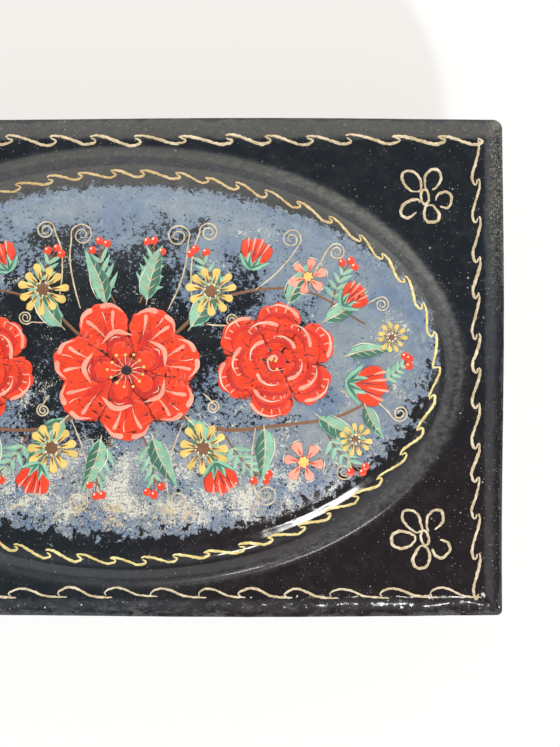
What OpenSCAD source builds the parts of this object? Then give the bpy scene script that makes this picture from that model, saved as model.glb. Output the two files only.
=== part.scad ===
// Small hinged lacquer box: papier-mache boards and wound walls, a pressed oval dome on the lid,
// and two rolled brass hinges let into the back wall.
// X runs left to right, Y from the front to the hinged back, Z up from the face it stands on.

/* [Boards] */
// Length of the lid board and the base board, left to right
board_w = 105; // [90:1:160]
// Depth of both boards, front to back
board_d = 70; // [60:1:110]
// Thickness of the base board
base_t = 3.2; // [2.4:0.1:5]
// Thickness of the lid board
lid_t = 3.2; // [2.6:0.1:5]
// Radius of the upright corners of the boards
corner_r = 1.0; // [0.6:0.1:2]
// How far the boards stand out past the walls
overhang = 1.0; // [0.6:0.1:2]
// Width of the rounded bevel round the top of the lid
bevel_w = 2.0; // [1.2:0.1:2.6]
// Drop of that bevel at the lid's side
bevel_drop = 1.2; // [0.6:0.1:1.6]
// Rounding of every other board edge
edge_r = 0.6; // [0.3:0.1:0.9]

/* [Walls] */
// Height of the wall tube of the body
wall_h = 21; // [14:0.5:60]
// Height of the wall ring under the lid
ring_h = 5; // [4.6:0.1:12]
// Thickness of the wound wall tube
wall_t = 3.6; // [3.2:0.1:5]
// Radius of the walls' outer upright corners
wall_r = 1.4; // [0.6:0.1:2.4]

/* [Lip] */
// Thickness of the liner strips inside the body
liner_t = 1.6; // [1:0.1:3]
// How far the liner stands above the wall as a lip
lip_h = 2.5; // [1.5:0.1:3.5]
// Chamfer along the lip's outer top edge
lip_chamfer = 0.4; // [0.2:0.1:0.8]
// Gap all round between the lip and the lid's ring
lip_gap = 0.35; // [0.3:0.05:0.45]
// Gap between the wall and the ring of the closed lid
lid_gap = 0.12; // [0.1:0.02:0.2]

/* [Oval dome] */
// Flat field between the lid's end and the foot of the dome
end_field = 5.2; // [4:0.1:14]
// Flat field between the lid's front edge and the foot of the dome
side_field = 3.6; // [3:0.1:10]
// Width of the ogee moulding, the same all round the oval
mould_w = 6.1; // [4:0.1:8]
// Rise of the moulding above the field
mould_h = 2.4; // [1.2:0.1:3.5]
// Further rise of the crown inside the moulding
crown_h = 1.8; // [0.5:0.1:4]

/* [Hinges] */
// Distance from the wall's end to the middle of the hinge beside it
hinge_end = 21.5; // [18:0.5:35]
// Length of one hinge
hinge_len = 12; // [8:0.5:16]
// Number of knuckles in one hinge
knuckles = 5; // [3:2:7]
// Outer radius of the rolled knuckles
knuckle_r = 1.2; // [1.05:0.05:1.3]
// Depth of the knuckles behind the face of the back wall
knuckle_sink = 0.1; // [0.05:0.05:0.2]
// Gap between neighbouring knuckles
knuckle_gap = 0.1; // [0.08:0.02:0.2]
// Thickness of the sheet brass of the leaves
leaf_t = 0.6; // [0.4:0.05:0.65]
// Depth of the lower leaf in the body's wall
leaf_down = 5.5; // [4:0.5:9]
// Height of the upper leaf in the lid's ring
leaf_up = 4.0; // [3.6:0.1:4.4]
// Radius of the wire that the knuckles turn on
pin_r = 0.45; // [0.35:0.05:0.5]
// Radius of the nails that hold the leaves
nail_r = 0.35; // [0.25:0.05:0.4]
// Distance between the two nails of a leaf
nail_pitch = 7; // [4:0.5:7.5]
// Angle at which the bevelled back edges meet and stop the lid
stop_angle = 100; // [96:1:116]
// Running clearance between the wire and the lid's knuckles
run_fit = 0.05; // [0.03:0.01:0.08]
// Clearance of what is driven or glued in place
set_fit = 0.02; // [0.01:0.01:0.04]
// Clearance round the knuckles in their groove
groove_gap = 0.2; // [0.15:0.05:0.3]

/* [Hidden] */
$fn = 48;

// Extra length of every cutting shape, so that no cut ends in a face
past = 1;

// Outside of the wall tube, and the space inside it that the liner fits
wall_w = board_w - 2 * overhang;
wall_d = board_d - 2 * overhang;
inner_w = wall_w - 2 * wall_t;
inner_d = wall_d - 2 * wall_t;

// Heights: top of the body's wall, bottom and top of the lid's ring, field of the lid
rim_z = base_t + wall_h;
ring_z = rim_z + lid_gap;
under_z = ring_z + ring_h;
field_z = under_z + lid_t;

// The shoulder oval, where the moulding starts; offset outward by mould_w it gives the foot
shoulder_a = board_w / 2 - end_field - mould_w;
shoulder_b = board_d / 2 - side_field - mould_w;
// The hollow under the dome is set in by this much, which keeps the pressed board equally thick
hollow_inset = lid_t / 2;
// Share of the moulding's width that pushes its steepest place outward
mould_skew = 1.25;
// Steps round the oval, over the crown and across the moulding
oval_steps = 80;
crown_steps = 4;
mould_steps = 9;
// Height at which the dome's foot meets the field, a lacquered step too low to see
foot_step = 0.04;

// Distance of each hinge from the middle of the box
hinge_x = wall_w / 2 - hinge_end;
// The hinge axis lies between wall and ring, just inside the back face
axis_y = wall_d / 2 - knuckle_r - knuckle_sink;
axis_z = rim_z + lid_gap / 2;
groove_r = knuckle_r + groove_gap;
knuckle_len = (hinge_len - (knuckles - 1) * knuckle_gap) / knuckles;
// The leaf leaves its knuckle almost at the tangent, on the side of the box's inside
leaf_sink = 0.03;
leaf_y = axis_y - knuckle_r + leaf_sink;
// Heights of the nails, as a share of their leaf
nail_share = 0.7;
// The nails stop this far inside the outer face, under the lacquer
nail_cover = 0.9;

black_lacquer = [0.06, 0.06, 0.07];
red_lacquer = [0.62, 0.08, 0.05];
brass = [0.80, 0.62, 0.32];

function smooth(u) = u * u * u * (10 - 15 * u + 6 * u * u);
// Height of the moulding above its foot, at distance t outward from the shoulder
function mould_height(t) = mould_h * (1 - smooth(pow(t / mould_w, mould_skew)));
// Slope of the crown where it meets the shoulder of the oval a by b, carried on into the moulding
function crown_slope(a, b, q) = 2 * crown_h * norm([cos(q) / a, sin(q) / b]);
function carried_slope(a, b, q, t) = -crown_slope(a, b, q) * t * pow(1 - t / mould_w, 2);
// Point on the oval a by b, moved outward by t along the oval's normal
function oval_point(a, b, q, t) =
  let (n = norm([b * cos(q), a * sin(q)]))
  [a * cos(q) + t * b * cos(q) / n, b * sin(q) + t * a * sin(q) / n];

// A flat rectangle with round corners
module rounded_plan(w, d, r) {
  square([w - 2 * r, d], center = true);
  square([w, d - 2 * r], center = true);
  for (sx = [-1, 1], sy = [-1, 1])
    translate([sx * (w / 2 - r), sy * (d / 2 - r)])
      circle(r);
}

// What a rounded edge takes from the upper right corner of a board's section
module edge_waste(edge_w, drop) {
  r = (edge_w * edge_w + drop * drop) / (2 * drop);
  difference() {
    translate([-edge_w, -r])
      square([edge_w + past, r + past]);
    translate([-edge_w, -r])
      circle(r, $fn = 96);
  }
}

// Section of a board of thickness t with rounded upper and lower edges
module board_section(span, t, top_w, top_drop, low_r) {
  difference() {
    translate([-span / 2, 0])
      square([span, t]);
    for (side = [0, 1])
      mirror([side, 0]) {
        translate([span / 2, t])
          edge_waste(top_w, top_drop);
        translate([span / 2, 0])
          mirror([0, 1])
            edge_waste(low_r, low_r);
      }
  }
}

// A board with rounded edges on all four sides, its lower face at z = 0
module board(t, top_w, top_drop) {
  intersection() {
    linear_extrude(t)
      rounded_plan(board_w, board_d, corner_r);
    rotate([90, 0, 90])
      linear_extrude(board_w + 2 * past, center = true)
        board_section(board_d, t, top_w, top_drop, edge_r);
    rotate([90, 0, 0])
      linear_extrude(board_d + 2 * past, center = true)
        board_section(board_w, t, top_w, top_drop, edge_r);
  }
}

// A wound tube of the given height: round outside corners, a rectangular hole
module wall_tube(height, hole_w, hole_d) {
  linear_extrude(height)
    difference() {
      rounded_plan(wall_w, wall_d, wall_r);
      square([hole_w, hole_d], center = true);
    }
}

// A domed solid over the oval a by b: crown, moulding and a skirt that goes down below z = 0
module domed_oval(a, b) {
  crown_rings = [
    for (k = [1:crown_steps]) [
      for (i = [0:oval_steps - 1])
        let (q = 360 * i / oval_steps, s = k / crown_steps)
        concat(s * oval_point(a, b, q, 0), mould_h + crown_h * (1 - s * s) + foot_step)
    ]
  ];
  mould_rings = [
    for (k = [1:mould_steps]) [
      for (i = [0:oval_steps - 1])
        let (q = 360 * i / oval_steps, t = mould_w * k / mould_steps)
        concat(oval_point(a, b, q, t), mould_height(t) + carried_slope(a, b, q, t) + foot_step)
    ]
  ];
  skirt_ring = [[
    for (i = [0:oval_steps - 1])
      concat(oval_point(a, b, 360 * i / oval_steps, mould_w), -past)
  ]];
  rings = concat(crown_rings, mould_rings, skirt_ring);
  top = [0, 0, mould_h + crown_h + foot_step];
  points = concat([top], [for (ring = rings) for (p = ring) p], [[0, 0, -past]]);
  last = len(points) - 1;
  start = last - oval_steps;
  polyhedron(points, concat(
    [for (i = [0:oval_steps - 1]) [0, 1 + (i + 1) % oval_steps, 1 + i]],
    [for (k = [0:len(rings) - 2], i = [0:oval_steps - 1])
      let (j = (i + 1) % oval_steps, r = 1 + k * oval_steps)
      [r + i, r + j, r + oval_steps + i]],
    [for (k = [0:len(rings) - 2], i = [0:oval_steps - 1])
      let (j = (i + 1) % oval_steps, r = 1 + k * oval_steps)
      [r + j, r + oval_steps + j, r + oval_steps + i]],
    [for (i = [0:oval_steps - 1]) [last, start + i, start + (i + 1) % oval_steps]]
  ));
}

// The bevel along a back edge, from the hinge axis outward; up is 1 for the ring and -1 for the wall
module back_bevel(up) {
  reach = wall_d / 2 + past - axis_y;
  rise = reach * tan(stop_angle / 2);
  translate([0, axis_y, axis_z])
    rotate([90, 0, 90])
      linear_extrude(wall_w + 2 * past, center = true)
        polygon([[0, 0], [reach, 0], [reach, up * rise]]);
}

// A shape placed at both hinges
module at_hinges() {
  for (side = [-1, 1])
    translate([side * hinge_x, axis_y, axis_z])
      children();
}

// The round groove in which the knuckles of one hinge lie
module knuckle_groove() {
  rotate([0, 90, 0])
    cylinder(h = hinge_len + 2 * groove_gap, r = groove_r, center = true);
}

// A block of the leaf's thickness, from z = low to z = high, seen from the hinge axis
module leaf_block(length, low, high, fit) {
  translate([-length / 2 - fit, leaf_y - axis_y - fit, low])
    cube([length + 2 * fit, leaf_t + 2 * fit, high - low]);
}

// The saw kerf for a leaf that reaches to z = reach; up is 1 for the ring and -1 for the wall
module kerf(reach, up) {
  end = up * (reach + set_fit);
  leaf_block(hinge_len, min(end, 0), max(end, 0), set_fit);
}

// The nails of one leaf, or with fit above 0 their holes, which open to the inside
module leaf_nails(reach, up, inside_y, fit) {
  length = wall_d / 2 - nail_cover - inside_y;
  for (side = [-1, 1])
    translate([side * nail_pitch / 2, inside_y - axis_y - (fit > 0 ? past : 0), up * reach * nail_share])
      rotate([-90, 0, 0])
        cylinder(h = length + (fit > 0 ? past + fit : 0), r = nail_r + fit);
}

// Middle of knuckle number k along the hinge
function knuckle_x(k) = -hinge_len / 2 + knuckle_len / 2 + k * (knuckle_len + knuckle_gap);

// A leaf with every second knuckle from number first on; up is 1 for the lid and -1 for the body
module hinge_leaf(first, up, reach, bore_fit, inside_y) {
  notch = up * (groove_r + run_fit);
  far = up * reach;
  difference() {
    union() {
      leaf_block(hinge_len, min(notch, far), max(notch, far), 0);
      for (k = [first:2:knuckles - 1])
        translate([knuckle_x(k), 0, 0]) {
          leaf_block(knuckle_len, min(0, up * (groove_r + 2 * run_fit)), max(0, up * (groove_r + 2 * run_fit)), 0);
          rotate([0, 90, 0])
            cylinder(h = knuckle_len, r = knuckle_r, center = true);
        }
    }
    rotate([0, 90, 0])
      cylinder(h = hinge_len + 2 * past, r = pin_r + bore_fit, center = true);
    leaf_nails(reach, up, inside_y, set_fit);
  }
}

// The wire of one hinge, from the groove's one end to its other
module hinge_wire() {
  rotate([0, 90, 0])
    cylinder(h = hinge_len + groove_gap, r = pin_r, center = true);
}

// The plan of a liner strip: its outer face is on y = 0 and its ends are mitred
module liner_strip(length) {
  difference() {
    linear_extrude(wall_h + lip_h)
      polygon([[-length / 2, 0], [length / 2, 0], [length / 2 - liner_t, liner_t], [liner_t - length / 2, liner_t]]);
    translate([0, 0, wall_h + lip_h])
      rotate([45, 0, 0])
        cube([length + 2 * past, lip_chamfer * sqrt(2), lip_chamfer * sqrt(2)], center = true);
  }
}

module base_board() {
  color(black_lacquer)
    board(base_t, edge_r, edge_r);
}

module base_wall() {
  color(black_lacquer)
    difference() {
      translate([0, 0, base_t])
        wall_tube(wall_h, inner_w, inner_d);
      back_bevel(-1);
      at_hinges() {
        knuckle_groove();
        kerf(leaf_down, -1);
        leaf_nails(leaf_down, -1, inner_d / 2, set_fit);
      }
    }
}

module liner_front() {
  color(red_lacquer)
    translate([0, -inner_d / 2, base_t])
      liner_strip(inner_w);
}

module liner_back() {
  color(red_lacquer)
    translate([0, inner_d / 2, base_t])
      rotate([0, 0, 180])
        liner_strip(inner_w);
}

module liner_left() {
  color(red_lacquer)
    translate([-inner_w / 2, 0, base_t])
      rotate([0, 0, -90])
        liner_strip(inner_d);
}

module liner_right() {
  color(red_lacquer)
    translate([inner_w / 2, 0, base_t])
      rotate([0, 0, 90])
        liner_strip(inner_d);
}

module base_leaf(side) {
  color(brass)
    translate([side * hinge_x, axis_y, axis_z])
      hinge_leaf(0, -1, leaf_down, set_fit, inner_d / 2);
}

module lid_leaf(side) {
  color(brass)
    translate([side * hinge_x, axis_y, axis_z])
      hinge_leaf(1, 1, leaf_up, run_fit, inner_d / 2 + lip_gap);
}

module wire(side) {
  color(brass)
    translate([side * hinge_x, axis_y, axis_z])
      hinge_wire();
}

module base_leaf_nails() {
  color(brass)
    at_hinges()
      leaf_nails(leaf_down, -1, inner_d / 2, 0);
}

module lid_leaf_nails() {
  color(brass)
    at_hinges()
      leaf_nails(leaf_up, 1, inner_d / 2 + lip_gap, 0);
}

module lid_ring() {
  color(black_lacquer)
    difference() {
      translate([0, 0, ring_z])
        wall_tube(ring_h, inner_w + 2 * lip_gap, inner_d + 2 * lip_gap);
      back_bevel(1);
      at_hinges() {
        knuckle_groove();
        kerf(leaf_up, 1);
        leaf_nails(leaf_up, 1, inner_d / 2 + lip_gap, set_fit);
      }
    }
}

module lid_panel() {
  color(black_lacquer)
    difference() {
      union() {
        translate([0, 0, under_z])
          board(lid_t, bevel_w, bevel_drop);
        translate([0, 0, field_z])
          domed_oval(shoulder_a, shoulder_b);
      }
      translate([0, 0, under_z])
        domed_oval(shoulder_a - hollow_inset, shoulder_b - hollow_inset);
    }
}

base_board();
base_wall();
liner_front();
liner_back();
liner_left();
liner_right();
base_leaf(-1);  // hinge_left_base_leaf
base_leaf(1);  // hinge_right_base_leaf
wire(-1);  // hinge_left_wire
wire(1);  // hinge_right_wire
base_leaf_nails();
lid_ring();
lid_panel();
lid_leaf(-1);  // hinge_left_lid_leaf
lid_leaf(1);  // hinge_right_lid_leaf
lid_leaf_nails();
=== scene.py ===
"""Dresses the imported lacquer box: lacquer, gold ornament, painted bouquet, hinges, and the stage round it."""

import math
import random

import bmesh
import bpy
import numpy as np
from bpy.props import FloatProperty, FloatVectorProperty, PointerProperty
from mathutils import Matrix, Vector


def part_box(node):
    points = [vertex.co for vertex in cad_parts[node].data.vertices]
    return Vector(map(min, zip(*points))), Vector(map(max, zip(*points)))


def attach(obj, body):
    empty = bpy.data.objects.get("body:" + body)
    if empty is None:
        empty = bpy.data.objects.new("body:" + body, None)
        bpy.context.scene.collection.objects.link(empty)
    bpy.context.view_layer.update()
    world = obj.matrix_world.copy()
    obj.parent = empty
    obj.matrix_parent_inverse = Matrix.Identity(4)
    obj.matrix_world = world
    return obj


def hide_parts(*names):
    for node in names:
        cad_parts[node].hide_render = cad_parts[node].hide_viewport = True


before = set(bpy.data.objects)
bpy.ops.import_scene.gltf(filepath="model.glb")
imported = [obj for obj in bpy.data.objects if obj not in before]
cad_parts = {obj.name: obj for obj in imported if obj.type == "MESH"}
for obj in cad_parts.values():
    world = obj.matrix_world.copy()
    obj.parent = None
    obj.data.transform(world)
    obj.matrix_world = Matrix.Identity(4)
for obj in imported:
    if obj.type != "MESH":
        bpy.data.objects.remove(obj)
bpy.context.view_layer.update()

bl_info = {
    "name": "Lacquer box",
    "version": (1, 0, 0),
    "blender": (4, 5, 0),
    "location": "3D View > Sidebar > Lacquer box",
    "description": "Lacquer, gold ornament and painted bouquet for a small hinged box",
    "category": "Object",
}

MM = 0.001
LID_LOW, LID_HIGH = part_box("lid_panel")
WALL_LOW, WALL_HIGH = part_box("base_wall")
RING_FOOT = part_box("lid_ring")[0].z
HALF_W = LID_HIGH.x
HALF_D = LID_HIGH.y


def length(name, description, millimetres):
    return FloatProperty(name=name, description=description, default=millimetres * MM, unit="LENGTH")


def tint(name, description, *rgb):
    return FloatVectorProperty(name=name, description=description, default=rgb, subtype="COLOR")


class LidSettings(bpy.types.PropertyGroup):
    """Shape of the lid board, which follows the solid's; only its edge is rubbed down a little further."""

    board: length("Board", "Thickness of the lid board", 3.2)
    end_field: length("End field", "Flat field at the ends of the oval", 5.2)
    side_field: length("Side field", "Flat field in front of and behind the oval", 3.6)
    mould_width: length("Moulding width", "Width of the ogee round the oval", 6.1)
    mould_rise: length("Moulding rise", "Rise of the ogee above the field", 2.4)
    mould_skew: FloatProperty(
        name="Moulding skew", description="Pushes the steepest place outward above 1", default=1.25, min=0.8, max=2
    )
    crown_rise: length("Crown rise", "Rise of the crown inside the ogee", 1.8)
    bevel_width: length("Bevel width", "Width of the rounded edge of the lid", 3.3)
    bevel_drop: length("Bevel drop", "Drop of that edge at the side", 1.2)
    edge_round: length("Edge rounding", "Rounding of the lower edges", 0.6)
    rim: length("Rim", "Height of the lacquer that gathers along the shoulder", 0.03)
    waviness: length("Waviness", "Height of the hand-rubbed waves in the lacquer", 0.035)


class LacquerSettings(bpy.types.PropertyGroup):
    """Colours of the lacquer and of the haze under the bouquet."""

    black: tint("Black", "Black lacquer", 0.005, 0.008, 0.012)
    brown: tint("Brown black", "Where the lacquer has gone brown", 0.0080, 0.0045, 0.0058)
    red: tint("Red", "Red lacquer inside", 0.42, 0.022, 0.012)
    slate: tint("Slate", "Slate haze", 0.25, 0.308, 0.362)
    pale: tint("Pale", "Haze to the front", 0.295, 0.328, 0.362)
    cornflower: tint("Cornflower", "Blue haze", 0.17, 0.235, 0.345)
    frost: tint("Frost", "Cream stipple", 0.66, 0.63, 0.53)


class GoldSettings(bpy.types.PropertyGroup):
    """The gold brush lines."""

    colour: tint("Gold", "Tan gold", 0.73, 0.64, 0.48)
    # The oval's gold is painted lighter at the front right, towards the key lamp, and darker at the back left as
    # painted shade
    bright: tint("Bright gold", "Yellow gold of the oval", 0.82, 0.75, 0.36)
    aged: tint("Aged gold", "The oval's gold at the back left", 0.60, 0.47, 0.27)
    line: length("Line", "Width of a brush line", 0.44)
    height: length("Height", "How far a line stands up", 0.07)
    swing: length("Swing", "Height of a wave", 1.35)
    wave: length("Wave", "Length of a wave of the border", 6.0)
    oval_wave: length("Oval wave", "Length of a wave of the oval", 4.5)
    oval_out: length("Oval place", "Distance of the oval line outside the shoulder", 1.6)
    top_inset: length("Back inset", "Border from the back edge", 3.1)
    low_inset: length("Front inset", "Border from the front edge", 3.4)
    side_inset: length("Side inset", "Border from the ends", 3.9)
    flower_x: length("Flower x", "Corner flower from the middle", 41.4)
    flower_y: length("Flower y", "Corner flower from the middle", 23.9)


class PaintSettings(bpy.types.PropertyGroup):
    """Colours of the bouquet."""

    vermilion: tint("Vermilion", "Blossoms", 0.84, 0.042, 0.004)
    crimson: tint("Crimson", "Blossom shade", 0.60, 0.016, 0.005)
    pink: tint("Pink", "Petal lights", 0.88, 0.34, 0.25)
    mint: tint("Mint", "Leaves", 0.24, 0.50, 0.36)
    moss: tint("Moss", "Leaf shade", 0.045, 0.16, 0.11)
    yellow: tint("Yellow", "Daisies", 0.78, 0.55, 0.15)
    brown: tint("Brown", "Stems", 0.20, 0.085, 0.035)
    cream: tint("Cream", "Dots", 0.80, 0.74, 0.62)
    ink: tint("Ink", "Thin dark lines", 0.018, 0.010, 0.012)


class StageSettings(bpy.types.PropertyGroup):
    """Camera, lamps and floor."""

    aim_x: length("Aim x", "Where the camera looks", 21.1)
    aim_y: length("Aim y", "Where the camera looks", -0.85)
    lens: FloatProperty(name="Lens", description="Focal length in millimetres", default=85.0)
    frame_height: length("Frame height", "Height of the view at the lid's field", 104.7)
    floor: tint("Floor", "Pale floor", 0.86, 0.85, 0.83)


SETTINGS = {
    "box_lid": LidSettings,
    "box_lacquer": LacquerSettings,
    "box_gold": GoldSettings,
    "box_paint": PaintSettings,
    "box_stage": StageSettings,
}


def lid():
    return bpy.context.scene.box_lid


def lacquer():
    return bpy.context.scene.box_lacquer


def gold():
    return bpy.context.scene.box_gold


def paint():
    return bpy.context.scene.box_paint


def shoulder():
    """Half axes of the oval where the moulding starts."""
    s = lid()
    return HALF_W - s.end_field - s.mould_width, HALF_D - s.side_field - s.mould_width


def smooth(u):
    return u * u * u * (10 - 15 * u + 6 * u * u)


def waves(x, y):
    """Height of the slow waves that rubbing by hand leaves in the lacquer, livelier on the lid's edge."""
    a, b = x / MM, y / MM
    slow = np.sin(a / 3.1 + 1.3 * np.sin(b / 6.3)) + np.sin(b / 2.7 + 1.7 + np.sin(a / 7.9))
    slow = slow + 0.6 * np.sin((a + b) / 1.9) * np.sin((a - 1.4 * b) / 4.3 + 0.6)
    edge = np.clip(1 + np.maximum(np.abs(a) - HALF_W / MM, np.abs(b) - HALF_D / MM) / 2.6, 0, 1)
    lumps = 2.6 * np.sin(a / 0.83 + 2 * np.sin(b / 1.9)) * np.sin(b / 0.71 + 1.6 * np.sin(a / 2.3))
    lumps = lumps + 2.4 * np.sin((a - b) / 1.3 + np.sin((a + b) / 2.7))
    corner = 1 + 2.0 * np.exp(-(((a - 46) / 7) ** 2) - ((b + 33) / 3.5) ** 2)
    return lid().waviness * (0.4 * slow + 0.45 * edge * corner * lumps)


def oval_place(x, y):
    """Distance outward from the shoulder oval and how sharply it bends there, for arrays x and y."""
    a, b = shoulder()
    px, py = np.abs(x), np.abs(y)
    tx = np.full_like(px, math.sqrt(0.5))
    ty = tx.copy()
    # Each round moves the nearest point along the oval's circle of curvature
    for _ in range(6):
        ex, ey = (a * a - b * b) * tx**3 / a, (b * b - a * a) * ty**3 / b
        r = np.hypot(a * tx - ex, b * ty - ey)
        q = np.maximum(np.hypot(px - ex, py - ey), 1e-12)
        tx = np.clip(((px - ex) * r / q + ex) / a, 0, 1)
        ty = np.clip(((py - ey) * r / q + ey) / b, 0, 1)
        n = np.hypot(tx, ty)
        tx, ty = tx / n, ty / n
    outside = (x / a) ** 2 + (y / b) ** 2 > 1
    distance = np.hypot(px - a * tx, py - b * ty) * np.where(outside, 1, -1)
    return distance, np.hypot(tx / a, ty / b)


def dome_rise(x, y):
    """Rise of the dome and its moulding above the field, for arrays x and y."""
    s = lid()
    a, b = shoulder()
    t, steep = oval_place(x, y)
    u = np.clip(t / s.mould_width, 0, 1)
    inside = s.mould_rise + s.crown_rise * (1 - (x / a) ** 2 - (y / b) ** 2)
    carried = 2 * s.crown_rise * steep * t * (1 - u) ** 2
    outside = s.mould_rise * (1 - smooth(u**s.mould_skew)) - carried
    rim = s.rim * np.exp(-(((t / MM - 0.1) / 0.5) ** 2))
    return rim + np.where(t < 0, inside, np.where(u >= 1, 0, outside))


def field_z():
    return LID_LOW.z + lid().board


# The lid's edge falls slowly at first: by this power of the way outward
BEVEL_POWER = 2.0


def edge_drop(x, y):
    """Drop of the lid's rounded edge below the field, for arrays x and y."""
    s = lid()
    inset = np.minimum(HALF_W - np.abs(x), HALF_D - np.abs(y))
    return s.bevel_drop * np.clip(1 - inset / s.bevel_width, 0, 1) ** BEVEL_POWER


def lid_height(x, y):
    """Height of the lacquered top of the lid, for arrays x and y."""
    return field_z() + dome_rise(x, y) + waves(x, y) - edge_drop(x, y)


def clear_selection():
    if bpy.context.mode != "OBJECT":
        bpy.ops.object.mode_set(mode="OBJECT")
    bpy.ops.object.select_all(action="DESELECT")


def select_only(obj):
    clear_selection()
    obj.select_set(True)
    bpy.context.view_layer.objects.active = obj


def coordinates(obj):
    co = np.empty(len(obj.data.vertices) * 3)
    obj.data.vertices.foreach_get("co", co)
    return co.reshape(-1, 3)


def set_coordinates(obj, co):
    obj.data.vertices.foreach_set("co", np.asarray(co, np.float64).ravel())
    obj.data.update()


def loft(name, rings):
    """A closed shell over rings of equal length, made by extruding a circle's edge ring by ring."""
    clear_selection()
    bpy.ops.mesh.primitive_circle_add(vertices=len(rings[0]))
    obj = bpy.context.object
    obj.name = obj.data.name = name
    set_coordinates(obj, rings[0])
    bpy.ops.object.mode_set(mode="EDIT")
    bpy.ops.mesh.select_mode(type="EDGE")
    bpy.ops.mesh.select_all(action="SELECT")
    mesh = bmesh.from_edit_mesh(obj.data)
    at = {tuple(v.co): i for i, v in enumerate(mesh.verts)}
    for ring in rings[1:]:
        bpy.ops.mesh.extrude_edges_move()
        mesh = bmesh.from_edit_mesh(obj.data)
        following = {}
        for v in mesh.verts:
            if v.select:
                i = at[tuple(v.co)]
                v.co = ring[i]
                following[tuple(v.co)] = i
        at = following
    bpy.ops.mesh.merge(type="CENTER")
    bpy.ops.mesh.select_mode(type="VERT")
    bpy.ops.mesh.select_all(action="DESELECT")
    mesh = bmesh.from_edit_mesh(obj.data)
    mesh.verts.ensure_lookup_table()
    for v in mesh.verts[: len(rings[0])]:
        v.select = True
    bpy.ops.mesh.merge(type="CENTER")
    bpy.ops.mesh.select_all(action="SELECT")
    bpy.ops.mesh.normals_make_consistent(inside=False)
    bpy.ops.object.mode_set(mode="OBJECT")
    return obj


# Edge points of a rounded rectangle: along a long side, a short side and a corner
LONG_POINTS = 110
SHORT_POINTS = 76
CORNER_POINTS = 8
# The lid's upright corners from the back right round by the left: signs of x and y, start of the arc, radius
CORNERS = [(1, 1, 0, 1.35 * MM), (-1, 1, 90, 1.1 * MM), (-1, -1, 180, 0.9 * MM), (1, -1, 270, 0.75 * MM)]


def rectangle_ring(inset, uneven=0.0):
    """Points of a rounded rectangle, set in from the lid's outline; uneven is the wander of its sides."""
    w, d = HALF_W - inset, HALF_D - inset
    arcs = []
    for sx, sy, start, radius in CORNERS:
        r = max(radius - inset, 0.12 * MM) + 0.3 * inset
        turns = [math.radians(start + 90 * k / (CORNER_POINTS - 1)) for k in range(CORNER_POINTS)]
        arcs.append([(sx * (w - r) + r * math.cos(q), sy * (d - r) + r * math.sin(q)) for q in turns])
    points = []
    for k, count in enumerate((LONG_POINTS, SHORT_POINTS, LONG_POINTS, SHORT_POINTS)):
        points += arcs[k]
        p, q = arcs[k][-1], arcs[(k + 1) % 4][0]
        for f in (j / count for j in range(1, count)):
            points.append((p[0] + f * (q[0] - p[0]), p[1] + f * (q[1] - p[1])))
    ring = np.array(points)
    if uneven:
        x, y = ring[:, 0] / MM, ring[:, 1] / MM
        ring[:, 0] += uneven * np.sin(y / 11 + 0.8) * np.sign(x) * (np.abs(x) > w / MM - 2)
        ring[:, 1] += uneven * np.sin(x / 14 + 0.3) * np.sign(y) * (np.abs(y) > d / MM - 2)
    return ring


def oval_ring(angles, a, b, t):
    """Points of the oval a by b, moved outward by t along its normals."""
    n = np.hypot(b * np.cos(angles), a * np.sin(angles))
    x = a * np.cos(angles) + t * b * np.cos(angles) / n
    y = b * np.sin(angles) + t * a * np.sin(angles) / n
    return np.stack([x, y], 1)


def lid_rings():
    """Rings of the lid board from the middle of its hollow, out under the edge, and up to the crown's top."""
    s = lid()
    a, b = shoulder()
    under, top = LID_LOW.z, field_z()
    inset = s.board / 2
    uneven = 0.15 * MM
    outline = rectangle_ring(s.bevel_width + 2 * MM)
    angles = np.arctan2(outline[:, 1] / (b + s.mould_width), outline[:, 0] / (a + s.mould_width))
    rings = []

    def add(ring, z):
        """Lifts a ring to z, which is a number or one number a point."""
        rings.append(np.column_stack([ring, np.broadcast_to(z, len(ring))]))

    # The hollow under the dome, from its middle outward
    for share in np.linspace(0.08, 1, 10):
        rise = s.mould_rise + s.crown_rise * (1 - share * share)
        add(oval_ring(angles, a - inset, b - inset, 0) * share, under + rise)
    for u in np.linspace(0, 1, 15)[1:]:
        steep = np.hypot(np.cos(angles) / (a - inset), np.sin(angles) / (b - inset))
        rise = s.mould_rise * (1 - smooth(u**s.mould_skew))
        rise = rise - 2 * s.crown_rise * steep * u * s.mould_width * (1 - u) ** 2
        add(oval_ring(angles, a - inset, b - inset, u * s.mould_width), under + rise)
    # The flat underside, then the rounded lower edge and the side
    rim = rectangle_ring(s.edge_round, uneven)
    for f in (0.5, 1.0):
        add(rings[-1][:, :2] * (1 - f) + rim * f, under)
    for q in (math.radians(90 * k / 5) for k in range(1, 6)):
        ring = rectangle_ring(s.edge_round * (1 - math.sin(q)), uneven)
        add(ring, under + s.edge_round * (1 - math.cos(q)))
    # The broad rounded edge up to the field
    for f in np.linspace(1, 0, 17):
        ring = rectangle_ring(s.bevel_width * (1 - f), uneven * f)
        add(ring, top - s.bevel_drop * f**BEVEL_POWER + waves(*ring.T))
    # The flat field, the moulding and the crown
    foot = oval_ring(angles, a, b, s.mould_width)
    edge = rings[-1][:, :2]
    for f in np.linspace(0, 1, 8)[1:]:
        ring = edge * (1 - f) + foot * f
        add(ring, top + waves(*ring.T))
    for u in np.linspace(1, 0, 41)[1:]:
        ring = oval_ring(angles, a, b, u * s.mould_width)
        add(ring, lid_height(*ring.T))
    for share in np.concatenate([np.linspace(1, 0.95, 9)[1:], np.linspace(0.95, 0.03, 24)[1:]]):
        ring = oval_ring(angles, a, b, 0) * share
        add(ring, lid_height(*ring.T))
    return rings


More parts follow.
